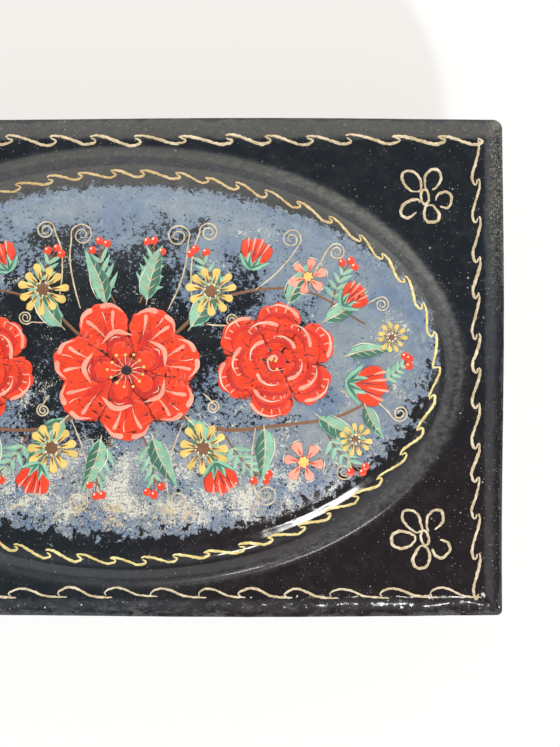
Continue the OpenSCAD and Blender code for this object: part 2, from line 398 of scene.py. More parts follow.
def arithmetic(operation, turned=False):
    """A method that joins a value and another number in a math node; turned puts the other one first."""

    def method(self, other=0.0):
        return self.nodes.math(operation, *((other, self) if turned else (self, other)))

    return method


class Value:
    """An output of a node, which arithmetic turns into further nodes."""

    def __init__(self, nodes, socket):
        self.nodes = nodes
        self.socket = socket

    __add__ = arithmetic("ADD")
    __radd__ = arithmetic("ADD", turned=True)
    __sub__ = arithmetic("SUBTRACT")
    __rsub__ = arithmetic("SUBTRACT", turned=True)
    __mul__ = arithmetic("MULTIPLY")
    __abs__ = arithmetic("ABSOLUTE")
    most = arithmetic("MAXIMUM")
    least = arithmetic("MINIMUM")

    def step(self, low, high):
        """0 below low, 1 above high, smooth between; low above high turns it round."""
        ends = (high, low, 1.0, 0.0) if low > high else (low, high, 0.0, 1.0)
        return self.nodes.made("ShaderNodeMapRange", "Result", self, *ends, interpolation_type="SMOOTHSTEP")


class Nodes:
    """Writes shader nodes of one tree, left to right, with short calls."""

    def __init__(self, tree):
        self.tree = tree
        self.column = 0

    def add(self, kind, **values):
        node = self.tree.nodes.new(kind)
        self.column += 1
        node.location = (200 * (self.column % 12) - 2400, -260 * (self.column // 12))
        for name, value in values.items():
            setattr(node, name, value)
        return node

    def feed(self, socket, value):
        if isinstance(value, Value):
            value = value.socket
        if isinstance(value, bpy.types.NodeSocket):
            self.tree.links.new(value, socket)
        elif socket.type == "RGBA" and len(value) == 3:
            socket.default_value = (*value, 1.0)
        else:
            socket.default_value = value

    def made(self, kind, output, *given, inputs=None, **values):
        """A new node's output, or all of them for None, with the values given fed to its first or chosen inputs."""
        node = self.add(kind, **values)
        for key, value in zip(inputs or range(len(given)), given):
            self.feed(node.inputs[key], value)
        if output is None:
            return [Value(self, socket) for socket in node.outputs]
        return Value(self, node.outputs[output])

    def math(self, operation, a, b=0.0, clamp=False):
        return self.made("ShaderNodeMath", 0, a, b, operation=operation, use_clamp=clamp)

    def vector(self, operation, a, b=(0, 0, 0)):
        return self.made("ShaderNodeVectorMath", 0, a, b, operation=operation)

    def shifted(self, vector, *by):
        return self.vector("ADD", vector, by)

    def stretched(self, vector, *by):
        return self.vector("MULTIPLY", vector, by)

    def radius(self, vector, a, b):
        """Distance from the middle, as a share of an oval's: its half axes are a and b millimetres."""
        flat = self.stretched(vector, 1 / a, 1 / b, 0)
        return self.made("ShaderNodeVectorMath", "Value", flat, operation="LENGTH")

    def axes(self, vector):
        """The x, y and z of a vector."""
        return self.made("ShaderNodeSeparateXYZ", None, vector)

    def noise(self, vector, size, detail=2.0, rough=0.5, distort=0.0):
        """Noise from 0 to 1 whose lumps are about size millimetres."""
        inputs = ("Vector", "Scale", "Detail", "Roughness", "Distortion")
        return self.made("ShaderNodeTexNoise", "Fac", vector, 1.0 / size, detail, rough, distort, inputs=inputs)

    def mix(self, factor, a, b, blend="MIX"):
        """A colour between a and b."""
        return self.made("ShaderNodeMix", 2, factor, a, b, inputs=(0, 6, 7), data_type="RGBA", blend_type=blend)

    def blend(self, factor, a, b):
        """A number between a and b."""
        return self.made("ShaderNodeMix", 0, factor, a, b, inputs=(0, 2, 3), data_type="FLOAT")

    def group(self, tree, *given):
        """The outputs of a shared group, with its inputs fed in order."""
        return self.made("ShaderNodeGroup", None, *given, node_tree=tree)

    def bump(self, height, millimetres, strength=0.8):
        inputs = ("Height", "Distance", "Strength")
        return self.made("ShaderNodeBump", "Normal", height, millimetres * MM, strength, inputs=inputs)


def shared_group(name, inputs, outputs):
    """Turns a function that draws a group's inner nodes into one that makes the group once and gives it out."""

    def decorate(draw):
        def found_or_made():
            tree = bpy.data.node_groups.get(name)
            if tree:
                return tree
            tree = bpy.data.node_groups.new(name, "ShaderNodeTree")
            for label, value in inputs.items():
                kind = "NodeSocketVector" if value is None else "NodeSocketFloat"
                socket = tree.interface.new_socket(label, in_out="INPUT", socket_type=kind)
                if value is not None:
                    socket.default_value = value
            for label in outputs:
                tree.interface.new_socket(label, in_out="OUTPUT", socket_type="NodeSocketFloat")
            nodes = Nodes(tree)
            start, end = nodes.add("NodeGroupInput"), nodes.add("NodeGroupOutput")
            drawn = draw(nodes, *(Value(nodes, start.outputs[label]) for label in inputs))
            for label, value in zip(outputs, drawn):
                nodes.feed(end.inputs[label], value)
            return tree

        return found_or_made

    return decorate


@shared_group("Specks", {"Vector": None, "Per millimetre": 1.0, "Share": 0.2, "Size": 0.1}, ["Mask", "Tone"])
def speck_group(nodes, place, density, share, size):
    """Scattered round specks: one a cell, in some of the cells."""
    distance, colour = nodes.made("ShaderNodeTexVoronoi", None, place, density, inputs=("Vector", "Scale"))[:2]
    lot, spread, tone = nodes.made("ShaderNodeSeparateColor", None, colour)
    near = size * (spread + 0.3) - distance
    return nodes.math("LESS_THAN", lot, share) * nodes.math("MULTIPLY", near, 40.0, clamp=True), tone


@shared_group("Lacquer peel", {"Vector": None, "Coarse": 0.5, "Fine": 0.5}, ["Height"])
def peel_group(nodes, place, coarse, fine):
    """Height of the fine unevenness of brushed lacquer, in two sizes."""
    return [nodes.noise(place, 2.6, 1.0) * coarse + nodes.noise(place, 0.35, 2.0) * fine]


WEAR_SIZES = {"Vector": None, "Half width": 50.0, "Half depth": 30.0, "Low": 0.0, "High": 20.0}


@shared_group("Edge wear", WEAR_SIZES, ["Mask"])
def wear_group(nodes, place, half_width, half_depth, low, high):
    """Where the upright corners and the level edges of the box are rubbed: half width, half depth, two heights."""
    x, y, z = nodes.axes(place)
    gap_x = abs(half_width - abs(x))
    gap_y = abs(half_depth - abs(y))
    corner = gap_x.most(gap_y)
    level = abs(z - low).least(abs(z - high)).most(gap_x.least(gap_y))
    rubbed = nodes.noise(place, 0.9, 4.0, 0.75).step(0.47, 0.60)
    return [corner.least(level).step(0.55, 0.15) * rubbed]


def new_material(name):
    """A material with a writer for its nodes, its Principled shader's inputs, and the place in millimetres."""
    material = bpy.data.materials.new(name)
    material.use_nodes = True
    tree = material.node_tree
    nodes = Nodes(tree)
    shader = tree.nodes["Principled BSDF"]
    shader.location = (400, 300)
    tree.nodes["Material Output"].location = (700, 300)
    metres = nodes.made("ShaderNodeTexCoord", "Object")
    place = nodes.made("ShaderNodeVectorMath", 0, metres, 1 / MM, inputs=(0, "Scale"), operation="SCALE")
    return material, nodes, shader.inputs, place


def made_once(build):
    """Keeps the first result of a material's function, so that every piece shares it."""

    def kept():
        found = bpy.data.materials.get(build.__name__)
        return found or build(build.__name__)

    return kept


def finish_with(nodes, shader, colour, rough, normal, coat=0.0, coat_rough=0.03):
    """Feeds the shader; the clear coat is the same all over, so it is set on the shader's own sockets."""
    nodes.feed(shader["Base Color"], colour)
    nodes.feed(shader["Roughness"], rough)
    nodes.feed(shader["Normal"], normal)
    shader["Coat Weight"].default_value = coat
    shader["Coat Roughness"].default_value = coat_rough


# Colours that the lacquers share: rubbed through to brown board, and the grey of dust, which on the lid also paints
# sheen
RUBBED_BROWN = (0.13, 0.095, 0.065)
DUST_AND_SHEEN_GREY = (0.36, 0.35, 0.34)


@made_once
def lid_lacquer(name):
    """Black lacquer of the lid, with the sponged haze and frost under the bouquet."""
    material, nodes, shader, place = new_material(name)
    c = lacquer()
    noise, mix, blend = nodes.noise, nodes.mix, nodes.blend
    x, y, _ = nodes.axes(place)
    oval = nodes.radius(place, shoulder()[0] / MM + 0.7, shoulder()[1] / MM - 1.2)
    grain = noise(place, 0.24, 3.0, 0.65)
    dab = noise(place, 1.4, 3.0, 0.6, 0.4)
    tuft = noise(place, 0.55, 3.0, 0.75, 0.6)
    cloud = noise(place, 5.5, 2.0, 0.5, 0.4)
    # Its outline is ragged: finely at the back, in broad dabs at the front
    ragged = (dab - 0.5) * blend(y.step(4.0, -10.0), 0.13, 0.38) + (grain - 0.5) * 0.06 + (tuft - 0.5) * 0.10
    ragged = oval + ragged + blend(y.step(8.0, -8.0), -0.04, 0.035)
    painted = ragged.step(1.015, 0.99)
    # The haze thins towards a dark middle
    dense = nodes.radius(nodes.shifted(place, 2.0, -4.0, 0), 32, 20) + (cloud - 0.5) * 1.1
    haze = (dense + (tuft - 0.5) * 1.5).step(0.62, 0.74)
    # Black pits in it, most of all towards the front
    lower = y.step(-7.0, -17.0)
    pits = noise(nodes.shifted(place, 13.0, 41.0, 3.0), 0.36, 2.0, 0.65, 0.8) + lower * 0.08
    haze = haze * pits.step(0.70, 0.64) * painted
    tone = mix(y.step(9.0, -9.0), c.slate, c.pale)
    flower = noise(place, 6.0, 1.0).step(0.46, 0.66)
    flower = flower.most(ragged.step(0.86, 0.97) * tuft.step(0.42, 0.56)).most(dense.step(1.05, 0.75) * 0.7)
    tone = mix(flower, tone, c.cornflower)
    tone = mix(dab.step(0.35, 0.75), mix(0.22, tone, c.black), tone)
    # Cream frost sponged on in small worms, thick in clumps over the front edge and in a few drifts
    clump = noise(nodes.shifted(place, 3.0, 5.0, 9.0), 4.5, 2.0, 0.6) - 0.5
    drift = noise(place, 8.0, 1.0, 0.5, 0.5).step(0.54, 0.74)
    worm = noise(nodes.shifted(place, 31.0, 17.0, 5.0), 0.42, 3.0, 0.65, 1.4)
    frosty = lower * 0.125 + drift * 0.08 + clump * 0.60 - ragged.step(0.86, 0.97) * 0.10
    frosty = frosty - y.step(-2.0, 8.0) * 0.07 + x.step(30.0, 38.0) * 0.06
    frost = (frosty + worm).step(0.635, 0.675) * (painted * blend(grain.step(0.36, 0.56), 0.45, 1.0))
    sand = y.step(-18.6, -19.4) * cloud.step(0.50, 0.54)
    # The ground turns browner towards the front right
    browner = y.step(14.0, -22.0) * x.step(-12.0, 20.0) + noise(place, 14.0, 1.0) * 0.6
    ground = mix(nodes.math("SUBTRACT", browner, 0.3, clamp=True), c.black, c.brown)
    colour = mix(haze * 0.92, ground, tone)
    colour = mix(frost * 0.88, colour, mix(sand, c.frost, (0.62, 0.49, 0.30)))
    # A grey film in clouds, and grey scuffs along the front edge: worn lacquer, and painted mottled reflection on the
    # edge's lumps
    inset = (HALF_W / MM - abs(x)).least(HALF_D / MM - abs(y))
    edge = inset.step(3.2, 1.6)
    front = (HALF_D / MM + y).step(3.0, 1.4)
    film = noise(place, 2.2, 5.0, 0.75).step(0.44, 0.70)
    scuff_and_sheen = noise(nodes.stretched(place, 0.6, 1.0, 1.0), 1.2, 4.0, 0.72, 0.5).step(0.46, 0.66)
    scuff_and_sheen = scuff_and_sheen * cloud.step(0.35, 0.62)
    film = film * 0.026 + scuff_and_sheen * front * 0.16
    # Dust lies in the cove at the foot of the moulding, thicker towards the right, where it also paints the soft sheen
    # of the key lamp along the cove; dust also lies in streaks along the back
    foot = nodes.radius(place, *((v + lid().mould_width) / MM for v in shoulder()))
    cove = abs(foot - 0.965).step(0.05, 0.01)
    streaks = noise(nodes.stretched(place, 0.7, 1.0, 1.0), 0.8, 5.0, 0.8, 0.6)
    dust_and_sheen = cove * blend(x.step(2.0, 30.0), 0.03, 0.14)
    back = edge.most(foot.step(0.99, 0.95)) * y.step(20.0, 26.0) * 0.05
    dust_and_sheen = dust_and_sheen.most(back) * streaks.step(0.40, 0.62) + back * grain.step(0.48, 0.72)
    colour = mix(film + dust_and_sheen, colour, DUST_AND_SHEEN_GREY)
    # Specks of dust in two sizes everywhere, and chips where the edge is worn; the white chips, thickest along the
    # front, also paint glints of the lamps on the edge
    dust, dust_tone = nodes.group(speck_group(), place, 0.95, 0.28, 0.12)
    fine, _ = nodes.group(speck_group(), place, 2.7, 0.36, 0.22)
    chip_and_glint_specks, chip_and_glint_tone = nodes.group(speck_group(), nodes.shifted(place, 7.0, 7.0, 0), 1.8, 0.45, 0.22)
    drifts = blend(noise(place, 7.0, 2.0).step(0.40, 0.62), 0.25, 0.9)
    worn = edge * noise(place, 2.6, 3.0, 0.7).step(0.40, 0.58) * blend(front, 0.30, 1.0)
    chips_and_glints = chip_and_glint_specks * chip_and_glint_tone * worn
    specks = ((dust * dust_tone).most(fine * 0.38) * drifts).most(chips_and_glints)
    rub = x.step(49.6, 51.4) * y.step(2.0, 24.0) * noise(place, 0.30, 4.0, 0.75).step(0.46, 0.64)
    colour = mix(specks, colour, mix(chips_and_glints, (0.38, 0.37, 0.34), (0.80, 0.80, 0.78)))
    colour = mix(rub * 0.5, colour, (0.30, 0.27, 0.20))
    rough = blend(noise(place, 9.0, 3.0, 0.6).step(0.3, 0.75), 0.07, 0.12)
    matt = specks.most(rub).most(haze * 0.15).most(cove * 0.42)
    peel = nodes.group(peel_group(), place, 2.0, 0.16)[0]
    rim = inset.step(3.9, 2.9) * (noise(place, 1.5, 1.0, 0.5) - 0.5)
    height = peel + (haze + frost) * (grain * 0.16) + specks * 1.2 + rim * 7.0
    finish_with(nodes, shader, colour, blend(matt, rough, 0.55), nodes.bump(height, 0.02), 0.3, 0.05)
    return material


@made_once
def side_lacquer(name):
    """Plain black lacquer of the walls and the ring, rubbed brown along their edges."""
    material, nodes, shader, place = new_material(name)
    c = lacquer()
    colour = nodes.mix(nodes.noise(place, 18.0, 2.0), c.black, c.brown)
    sizes = (WALL_HIGH.x / MM, WALL_HIGH.y / MM, RING_FOOT / MM, WALL_HIGH.z / MM)
    wear = nodes.group(wear_group(), place, *sizes)[0]
    colour = nodes.mix(wear * 0.6, colour, RUBBED_BROWN)
    specks = nodes.group(speck_group(), place, 0.8, 0.14, 0.11)[0] * 0.3
    colour = nodes.mix(specks, colour, (0.35, 0.33, 0.30))
    rough = nodes.blend(nodes.noise(place, 7.0, 3.0, 0.6).step(0.3, 0.75), 0.14, 0.27)
    peel = nodes.group(peel_group(), place, 3.0, 0.25)[0]
    finish_with(nodes, shader, colour, nodes.blend(specks, rough, 0.6), nodes.bump(peel, 0.02), 0.4, 0.08)
    return material


@made_once
def red_lacquer(name):
    """Red lacquer of the inside, rubbed a little darker here and there."""
    material, nodes, shader, place = new_material(name)
    red = lacquer().red
    dark = tuple(v * 0.45 for v in red)
    worn = nodes.noise(place, 6.0, 3.0, 0.6).step(0.35, 0.75)
    colour = nodes.mix(worn * 0.22, red, dark)
    streak = nodes.noise(nodes.stretched(place, 1.0, 0.12, 0.6), 0.5, 2.0)
    colour = nodes.mix(streak.step(0.5, 0.8) * 0.35, colour, dark)
    dust = nodes.group(speck_group(), place, 1.1, 0.12, 0.10)[0]
    colour = nodes.mix(dust * 0.5, colour, (0.45, 0.36, 0.28))
    peel = nodes.group(peel_group(), place, 0.8, 0.4)[0]
    finish_with(nodes, shader, colour, nodes.blend(worn, 0.22, 0.36), nodes.bump(peel, 0.02), 0.3, 0.1)
    return material


@made_once
def floor_lacquer(name):
    """The base board and the underside of the lid: red inside the walls, black everywhere else."""
    material, nodes, shader, place = new_material(name)
    c = lacquer()
    x, y, z = nodes.axes(nodes.vector("ABSOLUTE", place))
    inside_x = nodes.math("LESS_THAN", x, WALL_HIGH.x / MM - 1.0)
    inside_y = nodes.math("LESS_THAN", y, WALL_HIGH.y / MM - 1.0)
    inside = inside_x * inside_y * nodes.math("GREATER_THAN", z, WALL_LOW.z / MM - 0.3)
    worn = nodes.noise(place, 6.0, 3.0, 0.6).step(0.35, 0.75)
    red = nodes.mix(worn, c.red, tuple(v * 0.84 for v in c.red))
    black = nodes.mix(nodes.noise(place, 18.0, 2.0), c.black, c.brown)
    wear = nodes.group(wear_group(), place, HALF_W / MM, HALF_D / MM, 0.0, WALL_LOW.z / MM)[0]
    colour = nodes.mix(inside, nodes.mix(wear * 0.6, black, RUBBED_BROWN), red)
    dust = nodes.group(speck_group(), place, 0.9, 0.16, 0.12)[0]
    colour = nodes.mix(dust * 0.4, colour, (0.42, 0.36, 0.30))
    peel = nodes.group(peel_group(), place, 0.9, 0.3)[0]
    finish_with(nodes, shader, colour, nodes.blend(worn, 0.2, 0.36), nodes.bump(peel, 0.02), 0.3, 0.1)
    return material


@made_once
def old_brass(name):
    """Hinge brass, dulled brown in places and scratched."""
    material, nodes, shader, place = new_material(name)
    dull = nodes.noise(place, 1.6, 3.0, 0.6).step(0.4, 0.75)
    scratch = nodes.noise(nodes.stretched(place, 0.25, 3.0, 3.0), 0.25, 2.0)
    colour = nodes.mix(dull, (0.78, 0.55, 0.22), (0.34, 0.22, 0.09))
    colour = nodes.mix(scratch.step(0.55, 0.75) * 0.4, colour, (0.88, 0.68, 0.34))
    finish_with(nodes, shader, colour, nodes.blend(dull, 0.26, 0.5), nodes.bump(scratch, 0.01, 0.6))
    shader["Metallic"].default_value = 1.0
    return material


def gold_material(name, colour, other, tarnish, metal):
    """Bronze powder paint, grainy and uneven along the line; towards the back left it turns to the other, darker tone
    as painted shade, while the front right, towards the key lamp, keeps the lighter one as painted light.
    """
    material, nodes, shader, place = new_material(name)
    grain = nodes.noise(place, 0.12, 2.0, 0.7)
    pool = nodes.noise(place, 1.1, 2.0, 0.6)
    x, y, _ = nodes.axes(place)
    # Painted light and shade: the gold is lighter at the front right, where the key lamp falls, and darker at the back
    # left
    full = nodes.mix((y - x * 0.45).step(-14.0, 12.0), colour, other)
    tone = nodes.mix(pool.step(0.35, 0.7), nodes.mix(1.0, full, tarnish, "MULTIPLY"), full)
    tone = nodes.mix(grain.step(0.5, 0.8) * 0.5, tone, (0.95, 0.88, 0.66))
    # Dry places, where the black shows through
    dry = (grain + pool * 0.8).step(0.66, 0.56)
    tone = nodes.mix(dry * 0.8, tone, (0.05, 0.04, 0.03))
    finish_with(nodes, shader, tone, nodes.blend(grain, 0.34, 0.6), nodes.bump(grain + pool, 0.02, 0.7))
    shader["Metallic"].default_value = metal
    return material


@made_once
def tan_gold(name):
    # The darker tone that paints the shade at the back left
    browner = tuple(v * k for v, k in zip(gold().colour, (0.95, 0.92, 0.88)))
    return gold_material(name, tuple(gold().colour), browner, (0.66, 0.60, 0.50), 0.25)


@made_once
def yellow_gold(name):
    return gold_material(name, tuple(gold().bright), tuple(gold().aged), (0.80, 0.68, 0.5), 0.35)


def paint_material(colour):
    """Tempera of one colour of the bouquet: brush streaks along each stroke, under clear varnish."""
    found = bpy.data.materials.get("paint_" + colour)
    if found:
        return found
    material, nodes, shader, place = new_material("paint_" + colour)
    main = tuple(getattr(paint(), colour))
    dark = tuple(v * 0.74 for v in main)
    pale = tuple(v * 0.92 + 0.07 * max(main) for v in main)
    brush = nodes.made("ShaderNodeUVMap", 0)
    tone = nodes.made("ShaderNodeAttribute", "Fac", attribute_name="tone")
    # Each stroke has its own tone, which moves its streaks too
    shift = nodes.made("ShaderNodeCombineXYZ", 0, tone * 37.0, 0.0, tone)
    streak = nodes.noise(nodes.vector("ADD", nodes.stretched(brush, 22.0, 1.5, 1.0), shift), 1.0, 2.0, 0.6)
    patch = nodes.noise(place, 1.8, 2.0, 0.5)
    base = nodes.mix((patch + tone * 0.25).step(0.40, 0.85), main, dark)
    base = nodes.mix(streak.step(0.50, 0.72) * 0.35, base, pale)
    finish_with(nodes, shader, base, nodes.blend(streak, 0.35, 0.5), nodes.bump(streak, 0.012, 0.7), 0.7, 0.07)
    return material


def through(points, step):
    """A smooth line through the points, as points that lie about a step apart."""
    p = [np.array(v, float) for v in points]
    p = [2 * p[0] - p[1]] + p + [2 * p[-1] - p[-2]]
    line = []
    for k in range(1, len(p) - 2):
        a, b, c, d = p[k - 1 : k + 3]
        count = max(2, int(np.linalg.norm(c - b) / step))
        for f in (j / count for j in range(count)):
            cubic = (3 * b - a - 3 * c + d) * f**3
            line.append(0.5 * (2 * b + (c - a) * f + (2 * a - 5 * b + 4 * c - d) * f**2 + cubic))
    line.append(p[-2])
    return np.array(line)


# Points added near a stroke's round tips, as shares of the tip, and the least gap between two points
TIP_SHARES = (0.0, 0.08, 0.3, 0.65)
LEAST_GAP = 0.012 * MM
LEAST_HALF_WIDTH = 0.004 * MM


def stroke(points, width, start=0.6, end=0.4, belly=None, layer=0, step=0.25 * MM, uneven=0.12):
    """A brush stroke: its smooth line, the half width at each point with round tips, and its layer.
    belly is a function of the share of the length; without it the width runs from start to end through full."""
    line = through(points, step)
    gaps = np.linalg.norm(np.diff(line, axis=0), axis=1)
    run = np.concatenate([[0], np.cumsum(gaps)])
    length = run[-1]
    tip = min(width / 2, length / 2)
    extra = [tip * f for f in TIP_SHARES]
    at = np.unique(np.concatenate([run, extra, [length - v for v in extra]]))
    at = at[np.concatenate([[True], np.diff(at) > LEAST_GAP])]
    at[-1] = length
    line = np.column_stack([np.interp(at, run, line[:, 0]), np.interp(at, run, line[:, 1])])
    share = at / length
    if belly is None:
        full = np.minimum(1, start + (1 - start) * share * 5) * np.minimum(1, end + (1 - end) * (1 - share) * 5)
    else:
        full = belly(share)
    near = np.clip(np.minimum(at, length - at) / tip, 0, 1)
    # The hand shakes: the width swells and shrinks, and the line trembles sideways
    phase = 40 * (line[0, 0] + line[0, 1]) / MM
    shake = np.sin(at / (0.31 * MM) + phase) + np.sin(at / (0.83 * MM) + 2.1 * phase) + np.sin(at / (0.14 * MM))
    half = width / 2 * full * np.sqrt(1 - (1 - near) ** 2) * (1 + uneven * 0.6 * shake)
    across = np.gradient(line, axis=0)[:, ::-1] * (-1, 1)
    across = across / np.maximum(np.hypot(*across.T), 1e-12)[:, None]
    tremor = np.sin(at / (0.12 * MM) + 3 * phase) + np.sin(at / (0.21 * MM) + phase)
    line = line + across * (0.4 * uneven * width * tremor * near)[:, None]
    return line, np.maximum(half, LEAST_HALF_WIDTH), layer


# Each layer of paint lies this much higher, and a stroke's sides rise this steeply to its crest,
# which in the bouquet stands up this far
LAYER_LIFT = 0.028 * MM
STEEP = 0.35
PAINT_CREST = 0.03 * MM


def brushwork(name, strokes, material, crest, sides=4):
    """One piece of many brush strokes: curves with a round bevel, made a mesh and laid on the lid.
    crest is how far the paint stands up, which only strokes wider than a few crests reach."""
    clear_selection()
    bpy.ops.curve.primitive_nurbs_path_add()
    obj = bpy.context.object
    obj.name = obj.data.name = name
    curve = obj.data
    curve.splines.clear()
    curve.dimensions = "3D"
    curve.twist_mode = "Z_UP"
    curve.bevel_depth = 1.0
    curve.bevel_resolution = sides
    curve.use_fill_caps = True
    # In the flat drawing each stroke lies at its own height, which tells it apart once it is a mesh
    gap = 3 * max(half.max() for _, half, _ in strokes)
    for k, (line, half, _) in enumerate(strokes):
        spline = curve.splines.new("POLY")
        spline.points.add(len(line) - 1)
        flat = np.column_stack([line, np.full(len(line), k * gap), np.ones(len(line))])
        spline.points.foreach_set("co", flat.ravel())
        spline.points.foreach_set("radius", half)
    bpy.ops.object.convert(target="MESH")
    co = coordinates(obj)
    index = np.round(co[:, 2] / gap).astype(int)
    up = co[:, 2] - index * gap
    layer = np.array([layer for _, _, layer in strokes])[index]
    ground = lid_height(co[:, 0], co[:, 1]) + layer * LAYER_LIFT
    co[:, 2] = ground + crest * np.tanh(STEEP * up / crest)
    set_coordinates(obj, co)
    # A number for each stroke, spread evenly from 0 to 1 by the golden ratio, for its tone
    tone = obj.data.attributes.new("tone", "FLOAT", "POINT")
    tone.data.foreach_set("value", np.modf(index * 0.618034)[0])
    select_only(obj)
    bpy.ops.object.shade_smooth()
    obj.data.materials.clear()
    obj.data.materials.append(material)
    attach(obj, "lid")


def jitter(rng, amount):
    return np.array([rng.uniform(-amount, amount), rng.uniform(-amount, amount)])


# One wave of a running border: along the border, then outward, in shares of its length and its swing
CURSIVE_WAVE = [
    (0.00, 0.86), (0.12, 1.00), (0.34, 0.84), (0.62, 0.42), (0.86, 0.04),
    (1.00, 0.02), (1.13, 0.22), (1.15, 0.50), (1.03, 0.74),
]  # fmt: skip
FLAT_WAVE = [
    (-0.02, 0.10), (-0.05, 0.45), (0.06, 0.86), (0.22, 1.00), (0.42, 0.72), (0.62, 0.26), (0.84, 0.06), (1.12, 0.00),
]  # fmt: skip


def wave_strokes(rng, place, length, wave, shape, swing, width, loose=0.1):
    """Strokes of a running wave along a path; place turns distances along and across it into a point."""
    count = max(1, round(length / wave))
    sizes = np.array([rng.uniform(0.88, 1.12) for _ in range(count)])
    sizes *= length / sizes.sum()
    starts = np.concatenate([[0], np.cumsum(sizes)])
    made = []
    for k in range(count):
        height = swing * rng.uniform(0.85, 1.08)
        shift = swing * rng.uniform(-loose, loose)
        points = []
        for along, out in shape:
            wobble = jitter(rng, 0.03)
            s = starts[k] + sizes[k] * (along + wobble[0] * 0.5)
            points.append(place(s, height * (out - 0.5 + wobble[1]) + shift))
        made.append(stroke(points, width * rng.uniform(0.85, 1.1), 0.55, 0.5, step=0.16 * MM))
    return made


def border_strokes(rng):
    """The running wave just inside the lid's edge: along the back, the front and down both ends."""
    g = gold()
    left, right = -HALF_W + g.side_inset, HALF_W - g.side_inset
    back, front = HALF_D - g.top_inset, -HALF_D + g.low_inset
    width, depth = right - left, back - front
    made = []
    # Each side: its path, length, wave, shape, and its swing and line as shares of the usual ones
    for place, side, wave, shape, swing, line in (
        (lambda s, out: (left + s, back + out), width, 1.0, CURSIVE_WAVE, 1.0, 1.0),
        (lambda s, out: (left + s, front + out), width, 1.08, FLAT_WAVE, 1.0, 0.76),
        (lambda s, out: (right + out, back - s), depth, 0.9, CURSIVE_WAVE, 0.8, 0.92),
        (lambda s, out: (left - out, back - s), depth, 0.9, CURSIVE_WAVE, 0.8, 1.0),
    ):
        made += wave_strokes(rng, place, side, g.wave * wave, shape, g.swing * swing, g.line * line)
    return made


def oval_strokes(rng):
    """The wave on the moulding: from the left end over the back to the right end, and the same along the front."""
    g = gold()
    a, b = shoulder()
    angles = np.linspace(0, 2 * math.pi, 721)
    ring = oval_ring(angles, a, b, g.oval_out)
    run = np.concatenate([[0], np.cumsum(np.linalg.norm(np.diff(ring, axis=0), axis=1))])
    half = run[360]
    made = []
    for way, line in ((1, 0.82), (-1, 0.85)):

        def place(s, out):
            q = np.interp(half - way * s, run, angles)
            return tuple(oval_ring(np.array([q]), a, b, g.oval_out + way * out)[0])

        made += wave_strokes(rng, place, half, g.oval_wave, CURSIVE_WAVE, g.swing * 0.8, g.line * line)
    return made


# Petals of the corner flowers: direction and distance in degrees and millimetres, half length and
# half width of the loop, and the angles at which its line starts and ends
BACK_FLOWER = [
    (130, 2.9, 1.75, 1.12, 150, 520),
    (66, 2.75, 1.65, 1.10, 215, 545),
    (-9, 2.65, 1.10, 1.15, 245, 560),
    (-70, 2.55, 1.35, 1.00, 170, 535),
    (219, 2.65, 1.65, 1.02, 165, 460),
]
FRONT_FLOWER = [
    (127, 3.1, 1.95, 1.10, 165, 530),
    (61, 2.9, 1.70, 1.05, 230, 545),
    (-33, 2.75, 1.35, 1.25, 225, 480),
    (261, 2.75, 1.65, 1.15, 180, 540),
    (184, 3.0, 1.80, 1.15, 175, 545),
]


def flower_strokes(rng, petals, x, y, mirror):
    """A corner flower: a looped line for each petal and a long loop in the middle."""
    line, step = gold().line, 0.14 * MM
    made = []
    for turn, far, long, wide, start, end in petals:
        q = math.radians(turn)
        ahead, across = np.array([math.cos(q), math.sin(q)]), np.array([-math.sin(q), math.cos(q)])
        wobble = jitter(rng, 0.10)
        points = []
        for angle in np.linspace(math.radians(start), math.radians(end), 11):
            fat = wide * (1 + 0.22 * math.cos(angle))
            p = ahead * (far + wobble[0] + long * math.cos(angle)) + across * (fat * math.sin(angle))
            p = (0.97 * p + jitter(rng, 0.10)) * MM
            points.append((x + mirror * p[0], y + p[1]))
        made.append(stroke(points, line * rng.uniform(0.82, 0.98), 0.7, 0.5, step=step))
    lean = rng.uniform(-0.2, 0.2)
    eye = []
    for angle in np.linspace(0, math.radians(400), 12):
        u, v = 0.55 * math.cos(angle), 1.05 * math.sin(angle)
        eye.append((x + mirror * (u - lean * v) * MM, y + v * MM))
    made.append(stroke(eye, line * 0.82, 0.8, 0.6, step=step))
    return made


# Half width of a stroke as a share of its widest, at shares of its length
BELLIES = {
    "petal": ([0, 0.2, 0.5, 0.8, 1], [0.25, 0.6, 0.95, 1.0, 0.8]),
    "comma": ([0, 0.12, 0.35, 1], [0.7, 1.0, 0.8, 0.05]),
    "drop": ([0, 0.5, 0.85, 1], [0.08, 0.6, 1.0, 0.9]),
    "leaf": ([0, 0.12, 0.4, 0.75, 1], [0.15, 0.7, 1.0, 0.5, 0.04]),
    "dash": ([0, 0.35, 0.65, 1], [0.1, 1.0, 0.9, 0.1]),
    "stem": ([0, 1], [1.0, 0.5]),
    "line": ([0, 0.1, 0.9, 1], [0.6, 1.0, 0.9, 0.4]),
    "even": ([0, 1], [1.0, 1.0]),
}

PAINTS = ["brown", "moss", "mint", "vermilion", "crimson", "pink", "yellow", "cream", "ink", "gold"]


def around(x, y, size, squash):
    """A flower's own places: a share of its size outward, in a direction."""
    return lambda r, q: (x + size * r * math.cos(q), y + size * squash * r * math.sin(q))


def along(x, y, long, turn, bend=0.0):
    """A leaf's own places: shares of its length along its bent middle line and across it."""

    def at(u, v=0.0):
        v = v + bend * u * u
        c, s = math.cos(turn), math.sin(turn)
        return (x + long * (u * c - v * s), y + long * (u * s + v * c))

    return at


